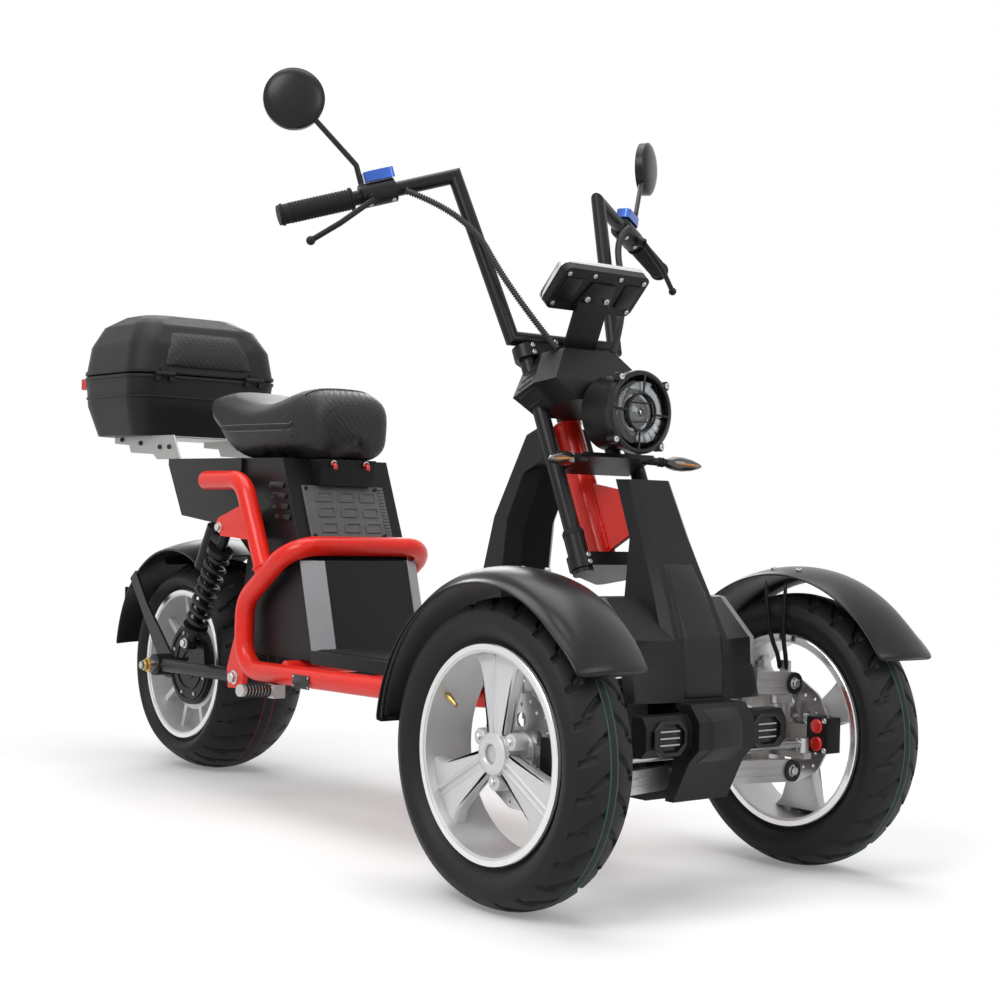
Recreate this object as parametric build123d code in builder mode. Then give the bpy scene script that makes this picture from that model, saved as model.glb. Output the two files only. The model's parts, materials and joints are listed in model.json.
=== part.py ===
from build123d import *
import os
from math import cos, radians, sin

# Three-wheeled electric scooter, millimetres.
# X points forward, Y to the rider's left, Z up; the origin is on the ground under the middle of the box.

# Stance and wheels
wheelbase = 1462.0
front_track = 656.0
front_tyre_radius = 236.4
front_tyre_width = 120.0
rear_tyre_radius = 238.4
rear_tyre_width = 215.0
rim_flange_radius = 166.5
front_rim_width = 92.0
rear_rim_width = 186.0
rim_wall = 7.0
tyre_seat_gap = 0.3

# Clearances
shaft_gap = 0.05
skin_gap = 0.3

# Top case, whose latch sets the rear end
case_front_aft = 1545.0
case_length = 340.0
case_latch_depth = 12.0
rear_overhang = case_front_aft + case_length + case_latch_depth - wheelbase

# Front fenders, which set the front end
fender_radius = 284.0
fender_wall = 4.0
fender_width = 142.0
fender_front_angle = 30.0
fender_rear_angle = 176.0
front_overhang = fender_radius * cos(radians(fender_front_angle))
front_axle_x = (wheelbase + rear_overhang - front_overhang) / 2

# Steering column and fork
rake = 24.0
steer_foot_aft = 147.0
steer_foot_z = 491.0
fork_leg_offset = 45.0
fork_leg_spread = 95.0
fork_upper_radius = 14.0
fork_lower_radius = 18.0
fork_lower_length = 62.0
fork_height = 413.0
bridge_height = 24.0
stem_radius = 15.0
head_tube_radius = 25.0
head_tube_low = 36.0
head_tube_high = 290.0
clamp_height = 24.0

# Handlebar: half of the bar, from its middle to the grip end
bar_radius = 13.0
grip_radius = 17.5
grip_length = 128.0
bar_clamp_half = 120.0
bar_mid_ahead = 48.0
bar_corner_aft = 388.0
bar_corner_y = 170.0
bar_corner_z = 1191.0
bar_end_aft = 508.0
bar_end_y = 450.0
bar_end_z = 1100.0
mirror_radius = 53.5
mirror_aft = 530.0
mirror_y = 418.0
mirror_z = 1308.0
mirror_yaw = 31.0

# Front suspension
kingpin_inset = 70.0
kingpin_y = front_track / 2 - kingpin_inset
kingpin_radius = 10.0
kingpin_boss_radius = 17.0
stub_radius = 10.0
arm_upper_z = 322.0
arm_lower_z = 173.0
arm_pivot_y = 48.0
arm_pivot_rise = 10.0
arm_eye_radius = 19.0
arm_thickness = 14.0
upright_half_depth = 34.0
carrier_top = 350.0
steer_arm_reach = 72.0
tie_rod_y = kingpin_y - 2
tie_rod_z = 206.0
tie_rod_radius = 6.0
disc_radius = 92.0
disc_thickness = 4.0
disc_inset = 24.0
disc_hub_radius = 34.0
disc_hole_radius = 20.0
web_inset = 28.0
web_thickness = 7.0
web_half = 10.0
caliper_back = 58.0

# Frame tubes
tube_radius = 20.0
tube_bend = 62.0
frame_y = 170.0
floor_z = 275.0
cross_tube_radius = 14.0
deck_top = 321.0
deck_half_width = 168.0
deck_low = floor_z + tube_radius + skin_gap
upright_aft = 1062.0
hoop_aft = 893.0
hoop_z = 522.0

# Body, seat and case
box_half_width = 140.0
box_front_half = 100.0
box_top = 494.0
tower_half_width = 130.0
tail_plate_thickness = 8.0
seat_low = 700.0
case_width = 384.0
case_low = 755.0
case_split = 896.0
case_top = 1040.0
case_wall = 4.0
case_split_gap = 3.0
case_front_corner = 46.0
case_hinge_radius = 5.0
case_hinge_y = 118.0

# Rear suspension
pivot_aft = 1086.0
pivot_z = 245.0
swingarm_y = 146.0
swingarm_radius = 15.0
dropout_half = 17.0
rear_axle_radius = 8.0
rear_axle_half = 196.0
hub_motor_radius = 92.0
hub_motor_width = 150.0
shock_y = 170.0
shock_low_aft = 1288.0
shock_low_z = 300.0
shock_high_aft = 1142.0
shock_high_z = 553.0
shock_eye_radius = 14.0
shock_eye_half = 12.0
shock_pin_radius = 6.0
spring_radius = 27.0
spring_inner_radius = 17.0
spring_turns = 8
rear_fender_radius = 284.0
rear_fender_width = 256.0


def aft(distance):
    """Station a given distance behind the front axle."""
    return front_axle_x - distance


steer_foot = Vector(aft(steer_foot_aft), 0, steer_foot_z)
steer_plane = Plane(
    origin=steer_foot,
    x_dir=(cos(radians(rake)), 0, sin(radians(rake))),
    z_dir=(-sin(radians(rake)), 0, cos(radians(rake))),
)
rear_axle = Vector(aft(wheelbase), 0, rear_tyre_radius)


def steer_point(forward, left, up):
    """Point given in the column's own frame: ahead of it, to its left and up along it."""
    return steer_plane.from_local_coords(Vector(forward, left, up))


def bar(start, end, radius, mode=Mode.ADD):
    """Add a straight round bar between two points."""
    run = Vector(*end) - Vector(*start)
    with BuildSketch(Plane(Vector(*start), z_dir=run)) as section:
        Circle(radius)
    extrude(section.sketch, amount=run.length, mode=mode)


def tube(points, radius, bend):
    """Add a round tube along straight runs joined by bends."""
    with BuildLine() as path:
        FilletPolyline(*points, radius=bend)
    with BuildSketch(Plane(path.line @ 0, z_dir=path.line % 0)) as section:
        Circle(radius)
    sweep(section.sketch, path=path.line)


def plate(outline, y_low, y_high, mode=Mode.ADD):
    """Add a flat piece with an XZ outline between two planes across the vehicle."""
    with BuildSketch(Plane.XZ.offset(-y_high)) as face:
        with BuildLine():
            Polyline(*outline, close=True)
        make_face()
    extrude(face.sketch, amount=y_high - y_low, mode=mode)


def block(x_low, x_high, y_low, y_high, z_low, z_high, mode=Mode.ADD):
    """Add a box between two corners."""
    with Locations(((x_low + x_high) / 2, (y_low + y_high) / 2, (z_low + z_high) / 2)):
        Box(x_high - x_low, y_high - y_low, z_high - z_low, mode=mode)


def strut(start, end, width, thickness):
    """Add a flat bar between two points, its width across the vehicle."""
    run = end - start
    with BuildSketch(Plane(start, x_dir=(0, 1, 0), z_dir=run)) as section:
        Rectangle(width, thickness)
    extrude(section.sketch, amount=run.length)


def finish(piece, name):
    """Label a finished piece and write its file."""
    piece.part.label = name
    export_step(piece.part, f"parts/{name}.step")


def wheel_plane(centre):
    """Plane through a wheel's axle, local x outward along the radius and local y along the axle."""
    return Plane(origin=centre, x_dir=(1, 0, 0), z_dir=(0, 0, 1))


def add_tyre(centre, radius, width, rim_width):
    """Add a tyre: beads on the rim seat, round sidewalls, a crowned tread."""
    bead = rim_flange_radius - rim_wall + tyre_seat_gap
    half = width / 2
    bead_half = rim_width / 2 - rim_wall - tyre_seat_gap
    shoulder = radius - 0.16 * width
    lip = rim_flange_radius + 4
    with BuildSketch(wheel_plane(centre)) as profile:
        with BuildLine():
            Line((bead, -bead_half), (bead, bead_half))
            Line((bead, bead_half), (lip, bead_half))
            ThreePointArc(
                (lip, bead_half), ((lip + shoulder) / 2, half), (shoulder, half - 0.06 * width)
            )
            ThreePointArc(
                (shoulder, half - 0.06 * width), (radius, 0), (shoulder, 0.06 * width - half)
            )
            ThreePointArc(
                (shoulder, 0.06 * width - half), ((lip + shoulder) / 2, -half), (lip, -bead_half)
            )
            Line((lip, -bead_half), (bead, -bead_half))
        make_face()
    revolve(profile.sketch, axis=Axis(centre, (0, 1, 0)))


def add_rim_barrel(centre, rim_width):
    """Add a rim's barrel with its two flanges and drop centre."""
    half = rim_width / 2
    seat = rim_flange_radius - rim_wall
    well = seat - rim_wall
    with BuildSketch(wheel_plane(centre)) as profile:
        with BuildLine():
            Polyline(
                (well, -half),
                (rim_flange_radius, -half),
                (rim_flange_radius, rim_wall - half),
                (seat, rim_wall - half),
                (seat, half - rim_wall),
                (rim_flange_radius, half - rim_wall),
                (rim_flange_radius, half),
                (well, half),
                close=True,
            )
        make_face()
    revolve(profile.sketch, axis=Axis(centre, (0, 1, 0)))


def add_fender(centre, radius, width, wall, front_angle, rear_angle):
    """Add a fender: a crowned arc section swept round the axle between two angles from ahead."""
    half = width / 2
    lip = radius - 0.2 * half
    outward = Vector(cos(radians(front_angle)), 0, sin(radians(front_angle)))
    with BuildSketch(Plane(origin=centre, x_dir=outward, z_dir=outward.cross(Vector(0, 1, 0)))) as section:
        with BuildLine():
            ThreePointArc((lip, -half), (radius, 0), (lip, half))
            Line((lip, half), (lip - wall, half))
            ThreePointArc((lip - wall, half), (radius - wall, 0), (lip - wall, -half))
            Line((lip - wall, -half), (lip, -half))
        make_face()
    revolve(section.sketch, axis=Axis(centre, (0, -1, 0)), revolution_arc=rear_angle - front_angle)


os.makedirs("parts", exist_ok=True)

# Red tube frame: floor tubes, rear uprights and hoop in one run, seat tubes, cross tubes, pivot gussets
cross_tube_z = deck_low - cross_tube_radius - skin_gap
floor_rear_z = 264.0
floor_foot_y = 66.0
floor_foot_aft = 185.0
left_run = [
    (aft(floor_foot_aft), floor_foot_y, floor_z),
    (aft(310), floor_foot_y, floor_z),
    (aft(480), frame_y, floor_z),
    (aft(upright_aft), frame_y, floor_rear_z),
    (aft(upright_aft), frame_y, 405),
    (aft(hoop_aft), frame_y, hoop_z),
    (aft(hoop_aft), 0, hoop_z),
]
with BuildPart() as frame:
    tube(left_run, tube_radius, tube_bend)
    tube(
        [(aft(1239), frame_y, 651), (aft(1085), frame_y, 652), (aft(985), frame_y, 460)],
        tube_radius, tube_bend,
    )
    plate(
        [(aft(1050), 262), (aft(1056), 225), (aft(1112), 222), (aft(1118), 262), (aft(1070), 380)],
        frame_y - 6, frame_y + 6,
    )
    for near, far in (
        (frame_y - 24, shock_y - shock_eye_half - skin_gap),
        (shock_y + shock_eye_half + skin_gap, frame_y + tube_radius),
    ):
        plate(
            [(aft(1057), 600), (aft(1022), 530), (aft(1135), 535), (aft(1162), 553), (aft(1150), 572)],
            near, far,
        )
    bar((aft(shock_high_aft), frame_y - 24, shock_high_z),
        (aft(shock_high_aft), frame_y + tube_radius, shock_high_z), shock_pin_radius)
    for station in (560, 900):
        bar((aft(station), 0, cross_tube_z), (aft(station), frame_y, cross_tube_z), cross_tube_radius)
    mirror(about=Plane.XZ)
finish(frame, "frame")

# Head tube with its gusset, arched over the fork's lower bridge
with BuildPart() as head_tube:
    bar(steer_point(0, 0, head_tube_low), steer_point(0, 0, head_tube_high), head_tube_radius)
    gusset = [
        steer_point(0, 0, 185), (aft(95), 0, 640), (aft(60), 0, 600), (aft(6), 0, 500),
        (aft(6), 0, carrier_top), (aft(30), 0, carrier_top), (aft(34), 0, 520),
        steer_point(112, 0, 50), steer_point(0, 0, 40),
    ]
    plate([(Vector(*p).X, Vector(*p).Z) for p in gusset], -5, 5)
    bar(steer_point(0, 0, 0), steer_point(0, 0, head_tube_high + 10), stem_radius + shaft_gap,
        mode=Mode.SUBTRACT)
finish(head_tube, "head_tube")

# Front post: slim beam from the head tube down to the deck, its front corners cut back
post_half_width = 56.0
post_chamfer = 24.0
post_front_aft = 344.0
with BuildPart() as front_post:
    post_top = steer_point(-8, 0, head_tube_high)
    post_neck = steer_point(-8, 0, head_tube_high - 58)
    plate(
        [
            (post_top.X, post_top.Z), (post_neck.X, post_neck.Z), (aft(279), 686), (aft(333), 581),
            (aft(post_front_aft), 481), (aft(post_front_aft), deck_top), (aft(430), deck_top),
            (aft(430), 469), (aft(394), 592), (aft(309), 738),
        ],
        -post_half_width, post_half_width,
    )
    front_edges = [
        edge for edge in front_post.edges()
        if abs(edge.center().Y) > post_half_width - 1 and edge.center().X > aft(post_front_aft + 1)
        and edge.center().Z < 680
    ]
    chamfer(front_edges, post_chamfer)
    bar(steer_point(0, 0, 0), steer_point(0, 0, 330), head_tube_radius + skin_gap, mode=Mode.SUBTRACT)
finish(front_post, "front_post")

# Deck board between the post and the battery box, a foot mat on each side
mat_height = 2.0
mat_inner = 66.0
mat_outer = 160.0
mat_front_aft = 376.0
mat_rear_aft = 800.0
deck_rear_aft = 812.0
with BuildPart() as deck:
    with BuildSketch(Plane.XY.offset(deck_low)):
        with BuildLine():
            Polyline(
                (aft(deck_rear_aft), -deck_half_width), (aft(372), -deck_half_width), (aft(262), -100),
                (aft(200), -92), (aft(200), 92), (aft(262), 100),
                (aft(372), deck_half_width), (aft(deck_rear_aft), deck_half_width),
                close=True,
            )
        make_face()
    extrude(amount=deck_top - deck_low)
    for near, far in ((-mat_outer, -mat_inner), (mat_inner, mat_outer)):
        block(aft(mat_rear_aft), aft(mat_front_aft), near, far, deck_top, deck_top + mat_height)
finish(deck, "deck")

# Battery box, its front leaning back and its corners cut, a grey strip on each cut
box_levels = [
    # height, front station, rear station
    (deck_low, 817.0, 1140.0),
    (box_top, 876.0, 1110.0),
]
corner_cut = 30.0
strip_thickness = 4.0
with BuildPart() as battery_box:
    outlines = []
    for height, front, rear in box_levels:
        half = [
            (aft(front), box_front_half), (aft(front + corner_cut), box_half_width),
            (aft(rear), box_half_width),
        ]
        with BuildSketch(Plane.XY.offset(height)) as outline:
            with BuildLine():
                Polyline(*half, *[(x, -y) for x, y in reversed(half)], close=True)
            make_face()
        outlines.append(outline.sketch)
    loft(outlines, ruled=True)
finish(battery_box, "battery_box")

cut_along = Vector(-corner_cut, box_half_width - box_front_half, 0).normalized()
strip_out = Vector(cut_along.Y, -cut_along.X, 0) * strip_thickness
with BuildPart() as box_trims:
    outlines = []
    for height, front, rear in box_levels:
        inner = Vector(aft(front), box_front_half, 0)
        outer = Vector(aft(front + corner_cut), box_half_width, 0)
        with BuildSketch(Plane.XY.offset(height)) as outline:
            with BuildLine():
                Polyline(inner, inner + strip_out, outer + strip_out, outer, close=True)
            make_face()
        outlines.append(outline.sketch)
    loft(outlines, ruled=True)
    mirror(about=Plane.XZ)
finish(box_trims, "box_trims")

# Seat tower, its front panel and the latch box
tower_top = seat_low - skin_gap
tower_front_low = aft(912)
tower_front_high = aft(1000)
with BuildPart() as seat_tower:
    plate(
        [
            (tower_front_low, box_top), (tower_front_high, tower_top), (aft(1226), tower_top),
            (aft(1205), 560), (aft(1110), box_top),
        ],
        -tower_half_width, tower_half_width,
    )
finish(seat_tower, "seat_tower")

panel_run = Vector(tower_front_high - tower_front_low, 0, tower_top - box_top)
panel_plane = Plane(
    origin=Vector(tower_front_low, 0, box_top) + panel_run * 0.46,
    x_dir=(0, 1, 0),
    z_dir=Vector(0, 1, 0).cross(panel_run.normalized()),
)
panel_width = 200.0
panel_height = 118.0
panel_thickness = 6.0
with BuildPart() as tower_panel:
    with BuildSketch(panel_plane):
        Rectangle(panel_width, panel_height)
    extrude(amount=panel_thickness)
finish(tower_panel, "tower_panel")

# Seat: a soft solid from the nose to the raised rear, sections by station
seat_sections = [
    # aft, half width, low, top
    (918.0, 72.0, 712.0, 806.0),
    (945.0, 96.0, seat_low, 838.0),
    (1010.0, 116.0, seat_low, 846.0),
    (1090.0, 126.0, seat_low, 822.0),
    (1170.0, 130.0, seat_low, 814.0),
    (1240.0, 130.0, 716.0, 836.0),
    (1344.0, 118.0, 800.0, 852.0),
]
seat_corner = 23.0
with BuildPart() as seat:
    for station, half, low, top in seat_sections:
        with BuildSketch(Plane(origin=(aft(station), 0, (low + top) / 2), x_dir=(0, 1, 0), z_dir=(1, 0, 0))):
            RectangleRounded(2 * half, top - low, seat_corner)
    loft(ruled=True)
finish(seat, "seat")

with BuildPart() as latch_box:
    slope = (tower_front_high - tower_front_low) / (tower_top - box_top)
    latch_low = 645.0
    plate(
        [
            (tower_front_low + slope * (latch_low - box_top), latch_low), (aft(958), latch_low),
            (aft(945), tower_top), (tower_front_high, tower_top),
        ],
        -66, 66,
    )
finish(latch_box, "latch_box")

# Tail plates with the shelf under the seat's rear
with BuildPart() as tail_plates:
    for side in (1, -1):
        near = side * tower_half_width
        far = side * (tower_half_width + tail_plate_thickness)
        plate(
            [
                (aft(1471), tower_top), (aft(1471), 686), (aft(1403), 574), (aft(1212), 556),
                (aft(1150), 600), (aft(1150), tower_top),
            ],
            min(near, far), max(near, far),
        )
        bar((aft(1205), side * (tower_half_width + 2), 651),
            (aft(1205), side * (frame_y - tube_radius - skin_gap), 651), 9)
    block(aft(1471), aft(1226.3), -tower_half_width, tower_half_width, tower_top - 8, tower_top)
finish(tail_plates, "tail_plates")

# Case brackets
bracket_half = 122.0
bracket_wall = 4.0
with BuildPart() as case_brackets:
    for side in (1, -1):
        near = side * bracket_half
        far = side * (bracket_half - bracket_wall)
        plate(
            [
                (aft(1448), tower_top), (aft(1560), tower_top), (aft(1580), 712), (aft(1690), 716),
                (aft(1700), 734), (aft(1775), 738), (aft(1775), case_low), (aft(1482), case_low),
            ],
            min(near, far), max(near, far),
        )
    block(aft(1775), aft(1540), -bracket_half, bracket_half, case_low - bracket_wall, case_low)
finish(case_brackets, "case_brackets")

# Top case: shell base, shell lid on two front hinges
case_centre_x = aft(case_front_aft + case_length / 2)
hinge_x = aft(case_front_aft) + case_hinge_radius + 2
hinge_z = case_split
base_sections = [
    # height, inset all round, rear corner radius
    (case_low, 34.0, 80.0),
    (case_low + 70, 6.0, 112.0),
    (case_split - case_split_gap / 2, 0.0, 118.0),
]
lid_sections = [
    (case_split + case_split_gap / 2, 0.0, 118.0),
    (case_split + 70, 10.0, 110.0),
    (case_split + 118, 36.0, 92.0),
    (case_top, 78.0, 70.0),
]


def add_case(sections, wall, mode=Mode.ADD):
    """Add a case half as a loft of rounded outlines, drawn in by a wall."""
    outlines = []
    for height, inset, corner in sections:
        with BuildSketch(Plane.XY.offset(height)) as outline:
            with Locations((case_centre_x, 0)):
                Rectangle(case_length - 2 * (inset + wall), case_width - 2 * (inset + wall))
            fillet(outline.vertices().group_by(Axis.X)[0], corner - wall)
            fillet(outline.vertices().group_by(Axis.X)[-1], case_front_corner - wall)
        outlines.append(outline.sketch)
    loft(outlines, ruled=True, mode=mode)


hinge_half = 12.0
with BuildPart() as case_base:
    add_case(base_sections, 0)
    inner = [(case_low + case_wall, *base_sections[0][1:]), *base_sections[1:]]
    inner.append((case_split + 1, *base_sections[-1][1:]))
    add_case(inner, case_wall, mode=Mode.SUBTRACT)
    for side in (1, -1):
        y = side * case_hinge_y
        for offset in (-2, 1):
            bar((hinge_x, y + offset * hinge_half, hinge_z),
                (hinge_x, y + (offset + 1) * hinge_half, hinge_z), case_hinge_radius)
            block(aft(case_front_aft) - case_wall, hinge_x, y + offset * hinge_half,
                  y + (offset + 1) * hinge_half, hinge_z - 16, hinge_z - 3)
        bar((hinge_x, y - 2 * hinge_half, hinge_z), (hinge_x, y + 2 * hinge_half, hinge_z), 2)
finish(case_base, "case_base")

with BuildPart() as case_lid:
    add_case(lid_sections, 0)
    inner = [(case_split - 1, *lid_sections[0][1:]), *lid_sections[:-1]]
    inner.append((case_top - case_wall, *lid_sections[-1][1:]))
    add_case(inner, case_wall, mode=Mode.SUBTRACT)
    for side in (1, -1):
        y = side * case_hinge_y
        low = y - hinge_half + skin_gap
        high = y + hinge_half - skin_gap
        bar((hinge_x, low, hinge_z), (hinge_x, high, hinge_z), case_hinge_radius)
        block(aft(case_front_aft) - case_wall, hinge_x, low, high, hinge_z + 3, hinge_z + 14)
        bar((hinge_x, low - 1, hinge_z), (hinge_x, high + 1, hinge_z), 2 + shaft_gap, mode=Mode.SUBTRACT)
finish(case_lid, "case_lid")

reflector_angle = 45.0
reflector_low = case_split - 30.0
reflector_high = case_split - 4.0
reflector_depth = 12.0
rear_corner = base_sections[-1][2]
corner_x = aft(case_front_aft + case_length) + rear_corner
corner_y = case_width / 2 - rear_corner
with BuildPart() as case_latch:
    block(aft(case_front_aft + case_length + case_latch_depth), aft(case_front_aft + case_length),
          -26, 26, reflector_low, reflector_high)
finish(case_latch, "case_latch")

with BuildPart() as case_reflectors:
    with BuildSketch(Plane.XY.offset(reflector_low)) as band:
        with Locations((corner_x, corner_y)):
            Circle(rear_corner + reflector_depth)
            Circle(rear_corner + skin_gap, mode=Mode.SUBTRACT)
            with Locations(Rotation(0, 0, 180 - reflector_angle)):
                Rectangle(rear_corner + 40, 52, align=(Align.MIN, Align.CENTER), mode=Mode.INTERSECT)
    extrude(band.sketch, amount=reflector_high - reflector_low)
    mirror(about=Plane.XZ)
finish(case_reflectors, "case_reflectors")

# Rear swingarm, axle, wheel
with BuildPart() as swingarm:
    bar((aft(pivot_aft), -frame_y + 6, pivot_z), (aft(pivot_aft), frame_y - 6, pivot_z), 19)
    bar((aft(1150), -swingarm_y, 244), (aft(1150), swingarm_y, 244), swingarm_radius)
    for side in (1, -1):
        y = side * swingarm_y
        bar((aft(pivot_aft), y, pivot_z), (rear_axle.X, y, rear_axle.Z), swingarm_radius)
        bar((rear_axle.X, y - dropout_half, rear_axle.Z), (rear_axle.X, y + dropout_half, rear_axle.Z), 24)
        plate(
            [
                (aft(1252), 240), (aft(1262), 300), (aft(1302), 318), (aft(1306), 290), (aft(1340), 240),
            ],
            y - 6, y + 6,
        )
        bar((aft(shock_low_aft), y, shock_low_z),
            (aft(shock_low_aft), y + side * 40, shock_low_z), shock_pin_radius)
    bar((rear_axle.X, -rear_axle_half, rear_axle.Z), (rear_axle.X, rear_axle_half, rear_axle.Z),
        rear_axle_radius + skin_gap, mode=Mode.SUBTRACT)
finish(swingarm, "swingarm")

with BuildPart() as rear_axle_bar:
    bar((rear_axle.X, -rear_axle_half, rear_axle.Z), (rear_axle.X, rear_axle_half, rear_axle.Z),
        rear_axle_radius)
    for side in (1, -1):
        y = side * (swingarm_y + dropout_half)
        bar((rear_axle.X, y, rear_axle.Z), (rear_axle.X, y + side * 14, rear_axle.Z), 15)
finish(rear_axle_bar, "rear_axle")

with BuildPart() as hub_motor:
    half = hub_motor_width / 2
    bar((rear_axle.X, -half, rear_axle.Z), (rear_axle.X, half, rear_axle.Z), hub_motor_radius)
    bar((rear_axle.X, -swingarm_y + dropout_half + 1, rear_axle.Z),
        (rear_axle.X, swingarm_y - dropout_half - 1, rear_axle.Z), 14)
    bar((rear_axle.X, -rear_axle_half, rear_axle.Z), (rear_axle.X, rear_axle_half, rear_axle.Z),
        rear_axle_radius + shaft_gap, mode=Mode.SUBTRACT)
finish(hub_motor, "hub_motor")

rear_spokes = 10
spoke_width = 13.0
with BuildPart() as rear_rim:
    add_rim_barrel(rear_axle, rear_rim_width)
    for side in (1, -1):
        for index in range(rear_spokes):
            with BuildSketch(
                Plane(origin=rear_axle + Vector(0, side * 50, 0), x_dir=(1, 0, 0), z_dir=(0, side, 0))
            ) as spoke:
                with Locations(Rotation(0, 0, 360 * index / rear_spokes) * Location((127, 0))):
                    Rectangle(62, spoke_width)
            extrude(spoke.sketch, amount=12)
    bar((rear_axle.X, -62, rear_axle.Z), (rear_axle.X, 62, rear_axle.Z), hub_motor_radius + 12)
    bar((rear_axle.X, -rear_axle_half, rear_axle.Z), (rear_axle.X, rear_axle_half, rear_axle.Z),
        hub_motor_radius + skin_gap, mode=Mode.SUBTRACT)
finish(rear_rim, "rear_rim")

with BuildPart() as rear_tyre:
    add_tyre(rear_axle, rear_tyre_radius, rear_tyre_width, rear_rim_width)
finish(rear_tyre, "rear_tyre")

# Rear shocks: dampers with reservoirs, springs as ridged sleeves
shock_low = Vector(aft(shock_low_aft), 0, shock_low_z)
shock_high = Vector(aft(shock_high_aft), 0, shock_high_z)
shock_run = shock_high - shock_low
shock_up = shock_run.normalized()
shock_ahead = Vector(0, 1, 0).cross(shock_up)
spring_low = 46.0
spring_high = shock_run.length - 66.0
damper_radius = 11.5
with BuildPart() as shocks:
    for side in (1, -1):
        foot = shock_low + Vector(0, side * shock_y, 0)
        for eye in (foot, foot + shock_run):
            bar(eye - Vector(0, shock_eye_half, 0), eye + Vector(0, shock_eye_half, 0), shock_eye_radius)
        bar(foot + shock_up * 8, foot + shock_up * (shock_run.length - 8), damper_radius)
        bar(foot + shock_up * (spring_low - 10), foot + shock_up * spring_low, spring_radius)
        bar(foot + shock_up * spring_high, foot + shock_up * (spring_high + 12), spring_radius)
        tank = foot - shock_ahead * 46
        bar(tank + shock_up * (spring_high - 62), tank + shock_up * (spring_high + 40), 17)
        bar(tank + shock_up * (spring_high + 22), foot + shock_up * (spring_high + 22), 12)
        for eye in (foot, foot + shock_run):
            bar(eye - Vector(0, 20, 0), eye + Vector(0, 20, 0), shock_pin_radius + skin_gap,
                mode=Mode.SUBTRACT)
finish(shocks, "shocks")

spring_pitch = (spring_high - spring_low - 2 * skin_gap) / spring_turns
with BuildPart() as shock_springs:
    for side in (1, -1):
        foot = shock_low + Vector(0, side * shock_y, 0)
        ridge = [(spring_inner_radius, spring_low + skin_gap)]
        for turn in range(spring_turns):
            start = spring_low + skin_gap + turn * spring_pitch
            ridge += [(spring_radius - 6, start), (spring_radius, start + spring_pitch / 2)]
        ridge += [(spring_radius - 6, spring_high - skin_gap), (spring_inner_radius, spring_high - skin_gap)]
        with BuildSketch(Plane(origin=foot, x_dir=shock_ahead, z_dir=shock_ahead.cross(shock_up))) as section:
            with BuildLine():
                Polyline(*ridge, close=True)
            make_face()
        revolve(section.sketch, axis=Axis(foot, shock_up))
finish(shock_springs, "shock_springs")

# Rear fender with its stays and the plate hanger
hanger_behind = 302.0
hanger_aft = wheelbase + hanger_behind
hanger_z = 378.0
hanger_half = 86.0
hanger_hole_y = 65.0
hanger_hole_radius = 3.2
stay_wall = 6.0
stay_foot_radius = 30.0
with BuildPart() as rear_fender:
    add_fender(rear_axle, rear_fender_radius, rear_fender_width, fender_wall, 62, 174)
    for side in (1, -1):
        y = side * (swingarm_y - dropout_half)
        plate(
            [
                (rear_axle.X + 12, rear_axle.Z), (rear_axle.X - 18, rear_axle.Z - 20),
                (rear_axle.X - 196, rear_axle.Z + 184), (rear_axle.X - 172, rear_axle.Z + 202),
                (rear_axle.X - 110, rear_axle.Z + 130), (rear_axle.X + 12, rear_axle.Z + 24),
            ],
            min(y, y - side * stay_wall), max(y, y - side * stay_wall),
        )
        bar((rear_axle.X, y - side * stay_wall, rear_axle.Z), (rear_axle.X, y, rear_axle.Z), stay_foot_radius)
    block(aft(hanger_aft + 4), aft(hanger_aft), -hanger_half, hanger_half, hanger_z - 18, hanger_z + 18)
    block(aft(hanger_aft), rear_axle.X - 230, -26, 26, hanger_z - 10, hanger_z + 10)
    for side in (1, -1):
        with Locations(Plane(origin=(aft(hanger_aft + 2), side * hanger_hole_y, hanger_z), z_dir=(1, 0, 0))):
            Hole(hanger_hole_radius, depth=20)
    bar((rear_axle.X, -rear_axle_half, rear_axle.Z), (rear_axle.X, rear_axle_half, rear_axle.Z),
        20, mode=Mode.SUBTRACT)
finish(rear_fender, "rear_fender")

# Foot pegs under the floor tubes
peg_top = floor_rear_z + 1.4 - tube_radius
with BuildPart() as foot_pegs:
    for side in (1, -1):
        block(aft(952), aft(918), min(side * (frame_y - 13), side * (frame_y + 13)),
              max(side * (frame_y - 13), side * (frame_y + 13)), 218, peg_top)
        bar((aft(935), side * frame_y, 232), (aft(917), side * 262, 238), 12)
finish(foot_pegs, "foot_pegs")

# Front carrier: spine, cradle with its big hole, and the tube feet's cross plate
with BuildPart() as front_carrier:
    block(aft(floor_foot_aft), aft(floor_foot_aft - 12), -96, 96, 250, 305)
    block(aft(floor_foot_aft), aft(30), -32, 32, 240, deck_top)
    with BuildSketch(Plane.YZ.offset(aft(upright_half_depth))) as face:
        with BuildLine():
            Polyline(
                (-72, arm_lower_z - 26), (72, arm_lower_z - 26), (72, carrier_top - 20),
                (52, carrier_top), (-52, carrier_top), (-72, carrier_top - 20),
                close=True,
            )
        make_face()
        with Locations((0, 216)):
            Circle(36, mode=Mode.SUBTRACT)
    extrude(face.sketch, amount=2 * upright_half_depth)
finish(front_carrier, "front_carrier")

# Front arms: two pairs of links a side, one ahead of the axle and one behind it
arm_levels = (arm_upper_z, arm_lower_z)
with BuildPart() as front_arms:
    for side in (1, -1):
        for level in arm_levels:
            for face_x in (upright_half_depth, -upright_half_depth - arm_thickness):
                with BuildSketch(Plane.YZ.offset(front_axle_x + face_x)) as link:
                    with Locations((side * arm_pivot_y, level + arm_pivot_rise), (side * kingpin_y, level)):
                        Circle(arm_eye_radius)
                    make_hull()
                extrude(link.sketch, amount=arm_thickness)
finish(front_arms, "front_arms")

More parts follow.
